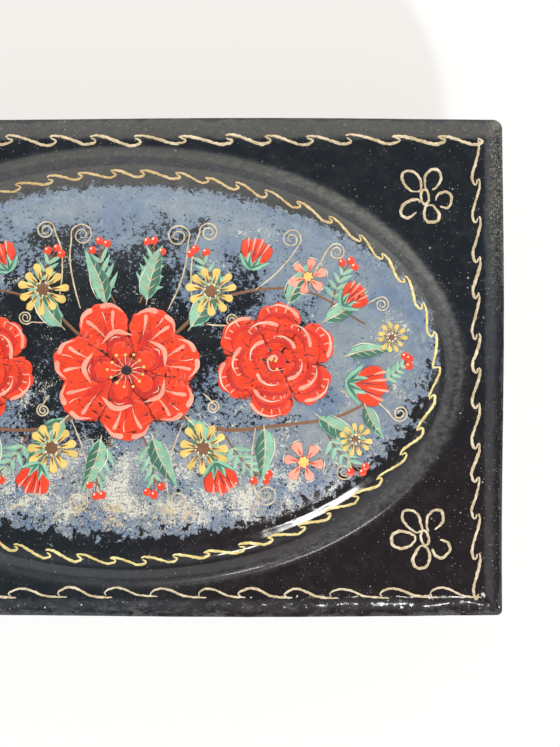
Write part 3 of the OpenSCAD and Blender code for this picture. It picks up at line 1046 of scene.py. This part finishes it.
class Bouquet:
    """Brush strokes of a painted spray of flowers, gathered by colour; all its lengths are in millimetres."""

    def __init__(self, seed):
        self.rng = random.Random(seed)
        self.strokes = {colour: [] for colour in PAINTS}

    def brush(self, colour, points, width, kind="line", layer=0, loose=0.06):
        xs, shares = BELLIES[kind]
        shaken = [(np.array(p) + jitter(self.rng, loose)) * MM for p in points]
        width *= self.rng.uniform(0.9, 1.1) * MM
        made = stroke(
            shaken, width, belly=lambda share: np.interp(share, xs, shares), layer=layer, step=0.3 * MM, uneven=0.04
        )
        self.strokes[colour].append(made)

    def polar(self, colour, at, places, width, kind, layer, loose=0.06):
        """A stroke through a flower's or a leaf's own places."""
        self.brush(colour, [at(*place) for place in places], width, kind, layer, loose)

    def dot(self, colour, x, y, size, layer):
        turn = self.rng.uniform(0, math.pi)
        reach = 0.5 * size
        ends = [(x + side * reach * math.cos(turn), y + side * reach * math.sin(turn)) for side in (-1, 0, 1)]
        self.brush(colour, ends, size, "even", layer, loose=0.02)

    def blossom(self, x, y, size, turn, squash=0.92, petals=7, layer=2):
        """An open blossom: scalloped outer petals, a cup of smaller ones and a ring of stamens."""
        rng, draw, at = self.rng, self.polar, around(x, y, size, squash)
        step = 2 * math.pi / petals
        for k in range(petals):
            q = turn + k * step + rng.uniform(-0.06, 0.06)
            long = rng.uniform(0.94, 1.04)
            for side, reach in ((-1, 0.90), (1, 0.90), (0, 0.98)):
                path = [(0.25, q), (0.6, q + side * 0.18 * step), (reach * long, q + side * 0.27 * step)]
                draw("vermilion", at, path, 0.40 * size, "petal", layer, 0.1)
            # Shade at the root, lights along the rim, and dark lines beside the petal
            draw("crimson", at, [(0.3, q), (0.5, q + 0.02), (0.70 * long, q - 0.03)], 0.13 * size, "leaf", layer + 1)
            for side in (-1, 1):
                a0, a1 = q + side * 0.06 * step, q + side * 0.42 * step
                rim = [(0.93 * long, a0), (0.91 * long, (a0 + a1) / 2), (0.80 * long, a1)]
                draw("pink", at, rim, 0.075 * size, "comma", layer + 1)
                start, end = q + side * 0.24 * step, q + side * 0.13 * step
                fold = [(0.84 * long, start), (0.70, (start + end) / 2), (0.52, end)]
                draw("pink", at, fold, 0.05 * size, "comma", layer + 1)
            edge = q + 0.5 * step
            draw("ink", at, [(0.34, edge), (0.6, edge + 0.03), (0.80, edge - 0.02)], 0.17, "comma", layer + 1)
            draw("ink", at, [(0.40, q + 0.12), (0.60, q + 0.16), (0.76, q + 0.10)], 0.12, "comma", layer + 2)
            draw("cream", at, [(0.88, q - 0.05), (0.80, q - 0.06), (0.70, q - 0.04)], 0.12, "comma", layer + 2)
        inner = max(5, petals - 2)
        step = 2 * math.pi / inner
        for k in range(inner):
            q = turn + 0.4 + k * step + rng.uniform(-0.08, 0.08)
            draw("crimson", at, [(0.06, q), (0.3, q), (0.50, q + 0.05)], 0.34 * size, "petal", layer + 2)
            draw("vermilion", at, [(0.10, q), (0.28, q), (0.42, q + 0.03)], 0.25 * size, "petal", layer + 3)
            rim = [(0.50, q - 0.36 * step), (0.56, q), (0.50, q + 0.36 * step)]
            draw("pink", at, rim, 0.07 * size, "dash", layer + 3)
            draw("cream", at, [(0.47, q - 0.1), (0.50, q + 0.05), (0.46, q + 0.2)], 0.13, "dash", layer + 4)
        draw("crimson", at, [(0.14, 2.6), (0.02, 1.0), (0.14, -0.5)], 0.30 * size, "line", layer + 4)
        draw("ink", at, [(0.07, 2.6), (0.0, 1.0), (0.07, -0.5)], 0.15 * size, "line", layer + 5)
        for k in range(13):
            q = turn + k * 2 * math.pi / 13
            draw("gold", at, [(0.07, q), (0.14, q + 0.05), (0.21, q)], 0.13, "line", layer + 6, 0.03)
            self.dot("yellow", *at(0.235 + rng.uniform(-0.02, 0.02), q), 0.42, layer + 6)

    def rose(self, x, y, size, turn, squash=0.94, layer=2):
        """A fuller blossom: overlapping lobes, wrapped round a closed heart by crescents."""
        rng, draw, at = self.rng, self.polar, around(x, y, size, squash)
        for k in range(6):
            q = turn + k * 2 * math.pi / 6
            for side in (-1, 1, 0):
                path = [(0.1, q), (0.55, q + 0.12 * side), (0.97 - 0.05 * abs(side), q + 0.26 * side)]
                draw("vermilion", at, path, 0.46 * size, "petal", layer, 0.12)
        for ring, (r, count, far) in enumerate(((0.93, 6, 0.44), (0.68, 5, 0.46), (0.42, 4, 0.5))):
            level = layer + 1 + ring
            for k in range(count):
                q = turn + k * 2 * math.pi / count + 0.4 * ring + rng.uniform(-0.08, 0.08)
                span = far * 2 * math.pi / count
                arc = [(r * (0.82 + 0.17 * math.cos(f * 1.5)), q + f * span) for f in (-0.9, -0.45, 0, 0.45, 0.9)]
                inner = [(r * 0.84 * (0.82 + 0.17 * math.cos(f * 1.5)), q + f * span) for f in (-1, -0.5, 0, 0.5, 1)]
                draw("crimson", at, inner, 0.085 * size, "dash", level)
                draw("pink", at, arc[:4], 0.065 * size, "comma", level)
                fold = [(r * 0.66, q + 1.05 * span), (r * 0.8, q + span), (r * 0.92, q + 0.85 * span)]
                draw("ink", at, fold, 0.15, "comma", level + 1)
                draw("cream", at, arc[1:4], 0.11, "dash", level + 1)
                for f in (-0.3, 0.1, 0.45):
                    vein = [(r * share, q + f * span * bend) for share, bend in ((0.95, 1.0), (0.87, 0.9), (0.78, 0.8))]
                    draw("pink", at, vein, 0.03 * size, "comma", level)
        draw("crimson", at, [(0.16, 2.8), (0.02, 1.2), (0.16, -0.4)], 0.28 * size, "line", layer + 4)
        draw("pink", at, [(0.03 + 0.045 * f, turn + 1.3 * f) for f in range(5)], 0.05 * size, "comma", layer + 5)
        heart = [(0.1 + 0.03 * f, turn + 1.0 + 1.1 * f) for f in range(4)]
        draw("ink", at, heart, 0.13, "comma", layer + 5)
        for k in range(5):
            self.dot("yellow", *at(0.07 * (k % 3), turn + 2.2 * k), 0.40, layer + 6)

    def bud(self, x, y, size, turn, layer=2):
        """A bud that opens towards the angle turn, held by pointed sepals."""
        draw, at = self.polar, along(x, y, size, turn)
        for v in (-0.34, 0.34, 0.0):
            path = [(-0.5, 0.2 * v), (0.1, 1.1 * v), (0.62 - abs(v) * 0.5, 0.95 * v)]
            draw("vermilion", at, path, 0.62 * size, "petal", layer)
        for v in (-0.42, -0.1, 0.25, 0.5):
            light = [(0.72 - abs(v) * 0.4, v), (0.35, v * 0.9), (-0.05, v * 0.55)]
            draw("pink", at, light, 0.10 * size, "comma", layer + 1)
        for v in (-0.27, 0.08, 0.38):
            draw("crimson", at, [(-0.4, 0.3 * v), (0.0, 0.8 * v), (0.35, v)], 0.12 * size, "leaf", layer + 1)
            draw("ink", at, [(-0.2, v * 0.6), (0.2, v * 0.95), (0.6, v * 1.05)], 0.13, "comma", layer + 2)
        for v, long in ((-0.55, 0.55), (0.55, 0.55), (-0.2, 0.75), (0.2, 0.75)):
            sepal = [(-0.75, 0), (-0.4, 0.8 * v), (-0.75 + long, 1.25 * v)]
            draw("mint", at, sepal, 0.27 * size, "leaf", layer + 2)
            shade = [(-0.7, 0), (-0.42, 0.6 * v), (-0.78 + long * 0.9, 0.95 * v)]
            draw("moss", at, shade, 0.10 * size, "leaf", layer + 3)

    def daisy(self, x, y, size, turn, colour="yellow", layer=2):
        """A small flower of comma petals round a dotted eye."""
        yellow = colour == "yellow"
        count, wide = (11, 0.34) if yellow else (6, 0.62)
        vein, eye, dots = ("brown", "brown", "cream") if yellow else ("vermilion", "yellow", "crimson")
        for k in range(count):
            q = turn + k * 2 * math.pi / count + self.rng.uniform(-0.07, 0.07)
            out = size * self.rng.uniform(0.9, 1.05)
            c, d = math.cos(q), math.sin(q)
            path = [(x + share * out * c, y + share * out * d) for share in (0.22, 0.6)]
            path.append((x + out * (c - 0.05 * d), y + out * (d + 0.05 * c)))
            self.brush(colour, path, wide * size, "drop", layer)
            line = [(x + share * out * c, y + share * out * d) for share in (0.35, 0.72)]
            self.brush(vein, line, 0.10 * size, "comma", layer + 1, 0.03)
            if not yellow:
                turns = [q + f for f in (-0.28, 0, 0.28)]
                rim = [(x + out * (1.04 * math.cos(f)), y + out * (1.04 * math.sin(f))) for f in turns]
                self.brush("cream", rim, 0.16, "dash", layer + 1, 0.03)
        self.dot(eye, x, y, 0.52 * size, layer + 2)
        for k in range(7):
            q = k * 2 * math.pi / 7 + turn
            self.dot(dots, x + 0.26 * size * math.cos(q), y + 0.26 * size * math.sin(q), 0.28, layer + 3)

    def leaf(self, x, y, long, wide, turn, bend=0.15, layer=1):
        """A pointed leaf with a shaded half and gold veins."""
        draw, at = self.polar, along(x, y, long, turn, bend)
        half = 0.5 * wide / long
        draw("mint", at, [(0, 0), (0.35, 0), (0.7, 0), (1.05, 0)], wide, "leaf", layer, 0.1)
        shade = [(0.05, -0.12 * half), (0.35, -0.5 * half), (0.65, -0.36 * half), (0.98, -0.02)]
        draw("moss", at, shade, wide * 0.42, "leaf", layer + 1)
        draw("gold", at, [(-0.08, 0), (0.3, 0.0), (0.65, 0.0), (0.97, 0)], 0.20, "comma", layer + 2, 0.03)
        for u in (0.2, 0.36, 0.52, 0.68):
            for side in (-1, 1):
                tip = side * half * (1.0 - abs(u + 0.1 - 0.45) * 1.3) * 0.9
                draw("gold", at, [(u, 0), (u + 0.08, 0.55 * tip), (u + 0.15, tip)], 0.13, "comma", layer + 2, 0.03)
        rim = [(0.12, 0.75 * half), (0.4, 0.95 * half), (0.72, 0.52 * half)]
        draw("cream", at, rim, 0.15, "dash", layer + 2, 0.05)

    def stem(self, points, width=0.42, layer=0):
        self.brush("brown", points, width, "stem", layer, 0.08)

    def sprig(self, x, y, long, turn, bend=0.3, pairs=4, layer=0):
        """A thin curved stalk with small leaves and a few berries."""
        draw, at = self.polar, along(x, y, long, turn, bend)
        self.stem([at(0), at(0.35), at(0.7), at(1)], 0.26, layer)
        for k in range(pairs):
            u = 0.22 + 0.62 * k / pairs
            size = 0.26 - 0.03 * k
            for side in (-1, 1):
                blade = [(u,), (u + 0.10, side * size * 0.45), (u + 0.2, side * size)]
                draw("mint", at, blade, 0.85 - 0.08 * k, "leaf", layer + 1, 0.08)
                vein = [(u + 0.02,), (u + 0.1, side * size * 0.4), (u + 0.16, side * size * 0.75)]
                draw("gold", at, vein, 0.12, "comma", layer + 2, 0.03)
        for u, v in ((1.0, 0.0), (0.93, 0.13), (0.90, -0.14)):
            cx, cy = at(u, v)
            self.brush("brown", [at(0.8), at((u + 0.8) / 2, 0.6 * v), (cx, cy)], 0.16, "line", layer, 0.03)
            self.dot("vermilion", cx, cy, 1.15, layer + 1)
            self.dot("cream", cx - 0.2, cy + 0.22, 0.30, layer + 2)

    def curl(self, x0, y0, x, y, size, way=1, layer=1):
        """A gold tendril from x0, y0 that ends in a spiral round x, y."""
        reach, turn = math.hypot(x0 - x, y0 - y), math.atan2(y0 - y, x0 - x)
        polar = [(reach * far, turn + way * lean) for far, lean in ((0.66, 0.16), (0.36, 0.45))]
        polar += [(size * (1 - 0.062 * k), turn + way * (1.1 + k * 0.95)) for k in range(14)]
        points = [(x0, y0)] + [(x + r * math.cos(q), y + r * math.sin(q)) for r, q in polar]
        self.brush("gold", points, 0.22, "line", layer, 0.05)

    def half(self, side):
        """The flowers of one half of the oval; side is 1 for the right and -1 for the left."""
        rng = self.rng

        def turned(degrees):
            q = math.radians(degrees + rng.uniform(-5, 5))
            return q if side > 0 else math.pi - q

        def spot(x, y):
            return side * x + rng.uniform(-0.4, 0.4), y + rng.uniform(-0.4, 0.4)

        self.stem([(side * x, y) for x, y in ((3, -4.5), (12, -8.5), (22, -8.0), (30, -6.5), (36.5, -2.5))], 0.6)
        self.stem([(side * x, y) for x, y in ((6, 4), (13, 9.5), (24, 10.8), (33, 6.0))], 0.45)
        # Leaves: x, y, length, width, direction in degrees, bend
        for x, y, long, wide, turn, bend in (
            (8.6, 5.8, 8.4, 3.1, 50, 0.16),
            (3.0, 9.0, 7.6, 2.9, 80, -0.18),
            (8.8, -6.8, 8.6, 3.1, -44, -0.16),
            (3.6, -9.8, 7.4, 2.9, -76, 0.2),
            (22.0, 9.0, 6.8, 2.7, 66, -0.16),
            (27.4, 6.2, 7.0, 2.6, 22, 0.2),
            (26.6, -7.0, 7.6, 2.8, -36, 0.18),
            (19.0, -8.4, 7.2, 2.8, -86, -0.15),
            (33.0, -5.6, 5.0, 2.1, -72, 0.2),
            (30.2, 1.6, 6.4, 2.3, 24, -0.2),
        ):
            self.leaf(*spot(x, y), long, wide, turned(turn), bend * side)
        # Sprigs: x, y, length, direction, bend
        for x, y, long, turn, bend in (
            (12.4, 9.0, 7.5, 96, 0.25),
            (28.0, 8.5, 7.0, 74, -0.2),
            (13.4, -9.5, 8.0, -60, 0.25),
            (27.5, -8.5, 7.5, -62, 0.3),
            (35.0, -2.0, 5.2, 24, 0.2),
            (1.6, 8.6, 8.6, 62, 0.3),
            (1.8, -9.2, 8.2, -62, -0.3),
        ):
            self.sprig(*spot(x, y), long, turned(turn), bend * side)
        self.rose(*spot(20.8, 0.6), 8.9, turned(20))
        for x, y, size, turn in (
            (33.4, -2.6, 4.3, -4),
            (31.6, 9.8, 3.0, 38),
            (13.0, -15.2, 3.4, -72),
            (17.6, 15.6, 3.3, 66),
        ):
            self.bud(*spot(x, y), size, turned(turn))
        for x, y, size, turn, colour in (
            (11.8, 10.6, 3.5, 10, "yellow"),
            (10.6, -10.8, 3.6, 70, "yellow"),
            (24.2, -13.2, 3.0, 50, "pink"),
            (24.8, 12.8, 2.6, 20, "pink"),
            (31.4, -9.8, 2.3, 30, "yellow"),
            (36.2, 4.4, 2.1, 30, "yellow"),
        ):
            self.daisy(*spot(x, y), size, turned(turn), colour, layer=3)
        # Tendrils: where they start, the middle of their spiral, its size and which way it winds
        for x0, y0, x, y, size, way in (
            (6.0, 8.0, 6.6, 18.2, 1.7, 1),
            (9.0, 9.5, 11.6, 19.0, 1.4, -1),
            (18.0, 10.5, 22.4, 18.2, 1.5, 1),
            (25.0, 10.8, 28.6, 15.6, 1.3, -1),
            (31.0, 7.6, 35.2, 8.6, 1.1, -1),
            (34.0, -4.0, 37.6, -6.6, 1.2, 1),
            (27.0, -7.5, 30.0, -14.2, 1.3, -1),
            (18.0, -8.5, 19.4, -18.0, 1.6, 1),
            (8.0, -7.5, 7.0, -18.4, 1.5, 1),
            (10.8, 6.0, 14.2, 6.6, 1.0, 1),
            (10.6, -4.0, 11.9, -5.6, 0.9, -1),
            (29.0, -3.4, 31.0, -3.6, 0.8, 1),
        ):
            self.curl(*spot(x0, y0), *spot(x, y), size, way * side)


def bouquet_strokes():
    """The whole bouquet: the two halves, drawn apart by the same hand, and the great blossom over their middle."""
    drawn = Bouquet(5)
    drawn.half(1)
    drawn.half(-1)
    drawn.blossom(0.0, -0.4, 10.6, math.radians(12), layer=3)
    return drawn.strokes


class LACQUERBOX_OT_stage(bpy.types.Operator):
    """Sets the pale floor, the lamps, the world and the camera straight above the lid"""

    bl_idname = "lacquerbox.stage"
    bl_label = "Stage"

    def execute(self, context):
        s = context.scene.box_stage
        scene = context.scene
        scene.view_settings.view_transform = "Standard"
        distance = s.lens / SENSOR_WIDTH * s.frame_height
        clear_selection()
        bpy.ops.object.camera_add(location=(s.aim_x, s.aim_y, field_z() + distance), rotation=(0, 0, 0))
        camera = context.object
        camera.name = "camera"
        camera.data.lens = s.lens
        camera.data.clip_start = 5 * MM
        camera.data.clip_end = 50
        scene.camera = camera
        bpy.ops.mesh.primitive_plane_add(size=6, location=(0, 0, 0))
        floor = context.object
        floor.name = "floor"
        floor.data.materials.append(floor_paper())
        # Only the two narrow lamps are mirrored in the lacquer
        soft_lamp("fill", (0.270, -0.432, 1.0), 0.40, 0.40, 6.4).visible_glossy = False
        soft_lamp("key", (0.190, -0.375, 1.055), 0.16, 0.05, 0.85)
        soft_lamp("corner_lamp", (0.138, -0.781, 0.794), 0.07, 0.10, 0.75)
        sky_light(scene)
        return {"FINISHED"}


# Width of the camera's sensor in millimetres, and where the lamps are turned to
SENSOR_WIDTH = 36
LAMP_AIM = (0, 0, 0.03)


def soft_lamp(name, at, width, height, power):
    """A warm rectangular lamp at a place, turned to the lid."""
    clear_selection()
    bpy.ops.object.light_add(type="AREA", location=at)
    lamp = bpy.context.object
    lamp.name = name
    lamp.data.shape = "RECTANGLE"
    lamp.data.size = width
    lamp.data.size_y = height
    lamp.data.energy = power
    lamp.data.color = (1.0, 0.98, 0.95)
    away = lamp.location - Vector(LAMP_AIM)
    lamp.rotation_euler = away.to_track_quat("Z", "Y").to_euler()
    return lamp


def sky_light(scene):
    """The room, white all round at the foot: above that a pale wall behind, greyer sides and a dark top."""
    world = scene.world or bpy.data.worlds.new("room")
    scene.world = world
    world.use_nodes = True
    tree = world.node_tree
    tree.nodes.clear()
    nodes = Nodes(tree)
    x, y, z = nodes.axes(nodes.made("ShaderNodeTexCoord", "Generated"))
    behind = y.step(0.115, 0.45)
    front = y.step(-0.35, -0.6) * y.step(-0.95, -0.80)
    right = x.step(0.26, 0.50) * x.step(0.95, 0.70) * nodes.blend(y.step(-0.42, -0.14), 0.35, 1.0)
    glow = behind * 1.60 + 0.24 + front * 0.45 + right * 0.82
    low = z.step(0.32, 0.23)
    colour = nodes.mix(behind, (0.92, 0.96, 1.0), (1.0, 0.955, 0.85))
    colour = nodes.mix(low, colour, (1.0, 1.0, 1.0))
    room = nodes.made("ShaderNodeBackground", 0, colour, nodes.blend(low, glow, 1.0))
    nodes.made("ShaderNodeOutputWorld", None, room)


@made_once
def floor_paper(name):
    """White paper: lit by the lamps, and brought up to white where the camera, gloss or glass sees it, with a painted
    shadow of the box behind it.
    """
    material, nodes, shader, place = new_material(name)
    floor = tuple(bpy.context.scene.box_stage.floor)
    nodes.feed(shader["Base Color"], nodes.mix(nodes.noise(place, 60.0, 2.0), floor, tuple(v * 0.985 for v in floor)))
    shader["Roughness"].default_value = 0.8
    # A faint warm shadow of the box is painted on the paper behind it, and fades away from it
    x, y, _ = nodes.axes(place)
    far = nodes.math("MULTIPLY", y - 36.0, 1 / 22.2, clamp=True)
    slant = x + nodes.math("POWER", far, 2.5) * 6.0
    shade = slant.step(49.0, 45.6) * y.step(10.0, 30.0) * (y.step(110.0, 62.0) * x.step(-100.0, -52.0))
    glow = nodes.made("ShaderNodeEmission", 0, nodes.mix(shade, (1.0, 1.0, 0.99), (0.89, 0.855, 0.825)), 1.0)
    seen = nodes.add("ShaderNodeLightPath").outputs
    rays = nodes.math("MAXIMUM", seen["Is Camera Ray"], seen["Is Glossy Ray"]).most(seen["Is Transmission Ray"])
    lit = material.node_tree.nodes["Principled BSDF"].outputs[0]
    surface = nodes.made("ShaderNodeMixShader", 0, rays * 0.93, lit, glow)
    nodes.feed(material.node_tree.nodes["Material Output"].inputs["Surface"], surface)
    return material


class LACQUERBOX_OT_lid(bpy.types.Operator):
    """Lofts the lacquered lid board with its bevel, its ogee oval and the hollow beneath"""

    bl_idname = "lacquerbox.lid"
    bl_label = "Lid board"

    def execute(self, context):
        board = loft("lid_board", lid_rings())
        board.data.materials.append(lid_lacquer())
        board.data.materials.append(floor_lacquer())
        for face in board.data.polygons:
            face.material_index = 1 if face.normal.z < -0.2 else 0
        select_only(board)
        bpy.ops.object.shade_smooth_by_angle(angle=math.radians(50))
        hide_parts("lid_panel")
        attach(board, "lid")
        return {"FINISHED"}


class LACQUERBOX_OT_gold(bpy.types.Operator):
    """Brushes the gold: the border, the oval wave and the corner flowers"""

    bl_idname = "lacquerbox.gold"
    bl_label = "Gold ornament"

    def execute(self, context):
        g = gold()
        rng = random.Random(11)
        brushwork("gold_border", border_strokes(rng), tan_gold(), g.height)
        brushwork("gold_oval", oval_strokes(rng), yellow_gold(), g.height)
        flowers = []
        for side in (1, -1):
            for petals, y in ((BACK_FLOWER, g.flower_y), (FRONT_FLOWER, -g.flower_y)):
                flowers += flower_strokes(rng, petals, side * g.flower_x, y, side)
        brushwork("gold_corner_flowers", flowers, tan_gold(), g.height)
        return {"FINISHED"}


class LACQUERBOX_OT_bouquet(bpy.types.Operator):
    """Paints the spray of flowers on the dome, one piece for each colour"""

    bl_idname = "lacquerbox.bouquet"
    bl_label = "Bouquet"

    def execute(self, context):
        for colour, strokes in bouquet_strokes().items():
            if colour == "gold":
                brushwork("bouquet_gold", strokes, tan_gold(), PAINT_CREST, sides=2)
            else:
                brushwork("bouquet_" + colour, strokes, paint_material(colour), PAINT_CREST, sides=3)
        return {"FINISHED"}


# Finish, slot, body and width of the easing in millimetres, and the solids copied with eased edges like that
EASED = [
    (floor_lacquer, "black_lacquer", "base", 0.0, "base_board"),
    (side_lacquer, "black_lacquer", "base", 0.18, "base_wall"),
    (side_lacquer, "black_lacquer", "lid", 0.18, "lid_ring"),
    (red_lacquer, "red_lacquer", "base", 0.22, "liner_front", "liner_back", "liner_left", "liner_right"),
    (old_brass, "brass", "base", 0.06, "hinge_left_base_leaf", "hinge_right_base_leaf"),
    (old_brass, "brass", "base", 0.10, "hinge_left_wire", "hinge_right_wire"),
    (old_brass, "brass", "base", 0.08, "base_leaf_nails"),
    (old_brass, "brass", "lid", 0.06, "hinge_left_lid_leaf", "hinge_right_lid_leaf"),
    (old_brass, "brass", "lid", 0.08, "lid_leaf_nails"),
]


def eased_copy(node, width):
    """A copy of a solid with its faces merged and its sharp edges eased by width."""
    select_only(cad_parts[node])
    bpy.ops.object.duplicate()
    obj = bpy.context.object
    obj.name = obj.data.name = node + "_eased"
    obj.parent = None
    bpy.ops.object.transform_apply(location=True, rotation=True, scale=True)
    bpy.ops.object.mode_set(mode="EDIT")
    bpy.ops.mesh.select_all(action="SELECT")
    bpy.ops.mesh.remove_doubles(threshold=0.002 * MM)
    bpy.ops.mesh.dissolve_limited(angle_limit=math.radians(1.0))
    bpy.ops.object.mode_set(mode="OBJECT")
    if width:
        bpy.ops.object.modifier_add(type="BEVEL")
        ease = obj.modifiers[-1]
        ease.width = width * MM
        ease.segments = 3
        ease.limit_method = "ANGLE"
        ease.angle_limit = math.radians(38)
        ease.harden_normals = False
        bpy.ops.object.modifier_apply(modifier=ease.name)
    bpy.ops.object.shade_smooth_by_angle(angle=math.radians(32))
    return obj


class LACQUERBOX_OT_body(bpy.types.Operator):
    """Lacquers the walls, ring, liners and base, and makes the brass hinges, all with eased edges"""

    bl_idname = "lacquerbox.body"
    bl_label = "Walls and hinges"

    def execute(self, context):
        for finish, slot, body, width, *solids in EASED:
            for node in solids:
                obj = eased_copy(node, width)
                obj.data.materials.clear()
                obj.data.materials.append(finish())
                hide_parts(node)
                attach(obj, body)
        return {"FINISHED"}


OPERATORS = [
    LACQUERBOX_OT_stage,
    LACQUERBOX_OT_body,
    LACQUERBOX_OT_lid,
    LACQUERBOX_OT_gold,
    LACQUERBOX_OT_bouquet,
]


class LACQUERBOX_PT_panel(bpy.types.Panel):
    """Lists the steps that make the box"""

    bl_idname = "LACQUERBOX_PT_panel"
    bl_label = "Lacquer box"
    bl_space_type = "VIEW_3D"
    bl_region_type = "UI"
    bl_category = "Lacquer box"

    def draw(self, context):
        for step in OPERATORS:
            self.layout.operator(step.bl_idname)


def register():
    for name, group in SETTINGS.items():
        bpy.utils.register_class(group)
        setattr(bpy.types.Scene, name, PointerProperty(type=group))
    for step in OPERATORS:
        bpy.utils.register_class(step)
    bpy.utils.register_class(LACQUERBOX_PT_panel)


def unregister():
    bpy.utils.unregister_class(LACQUERBOX_PT_panel)
    for step in reversed(OPERATORS):
        bpy.utils.unregister_class(step)
    for name, group in SETTINGS.items():
        delattr(bpy.types.Scene, name)
        bpy.utils.unregister_class(group)


def main():
    register()
    for step in OPERATORS:
        group, name = step.bl_idname.split(".")
        getattr(getattr(bpy.ops, group), name)()
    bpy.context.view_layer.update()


if __name__ == "__main__":
    main()
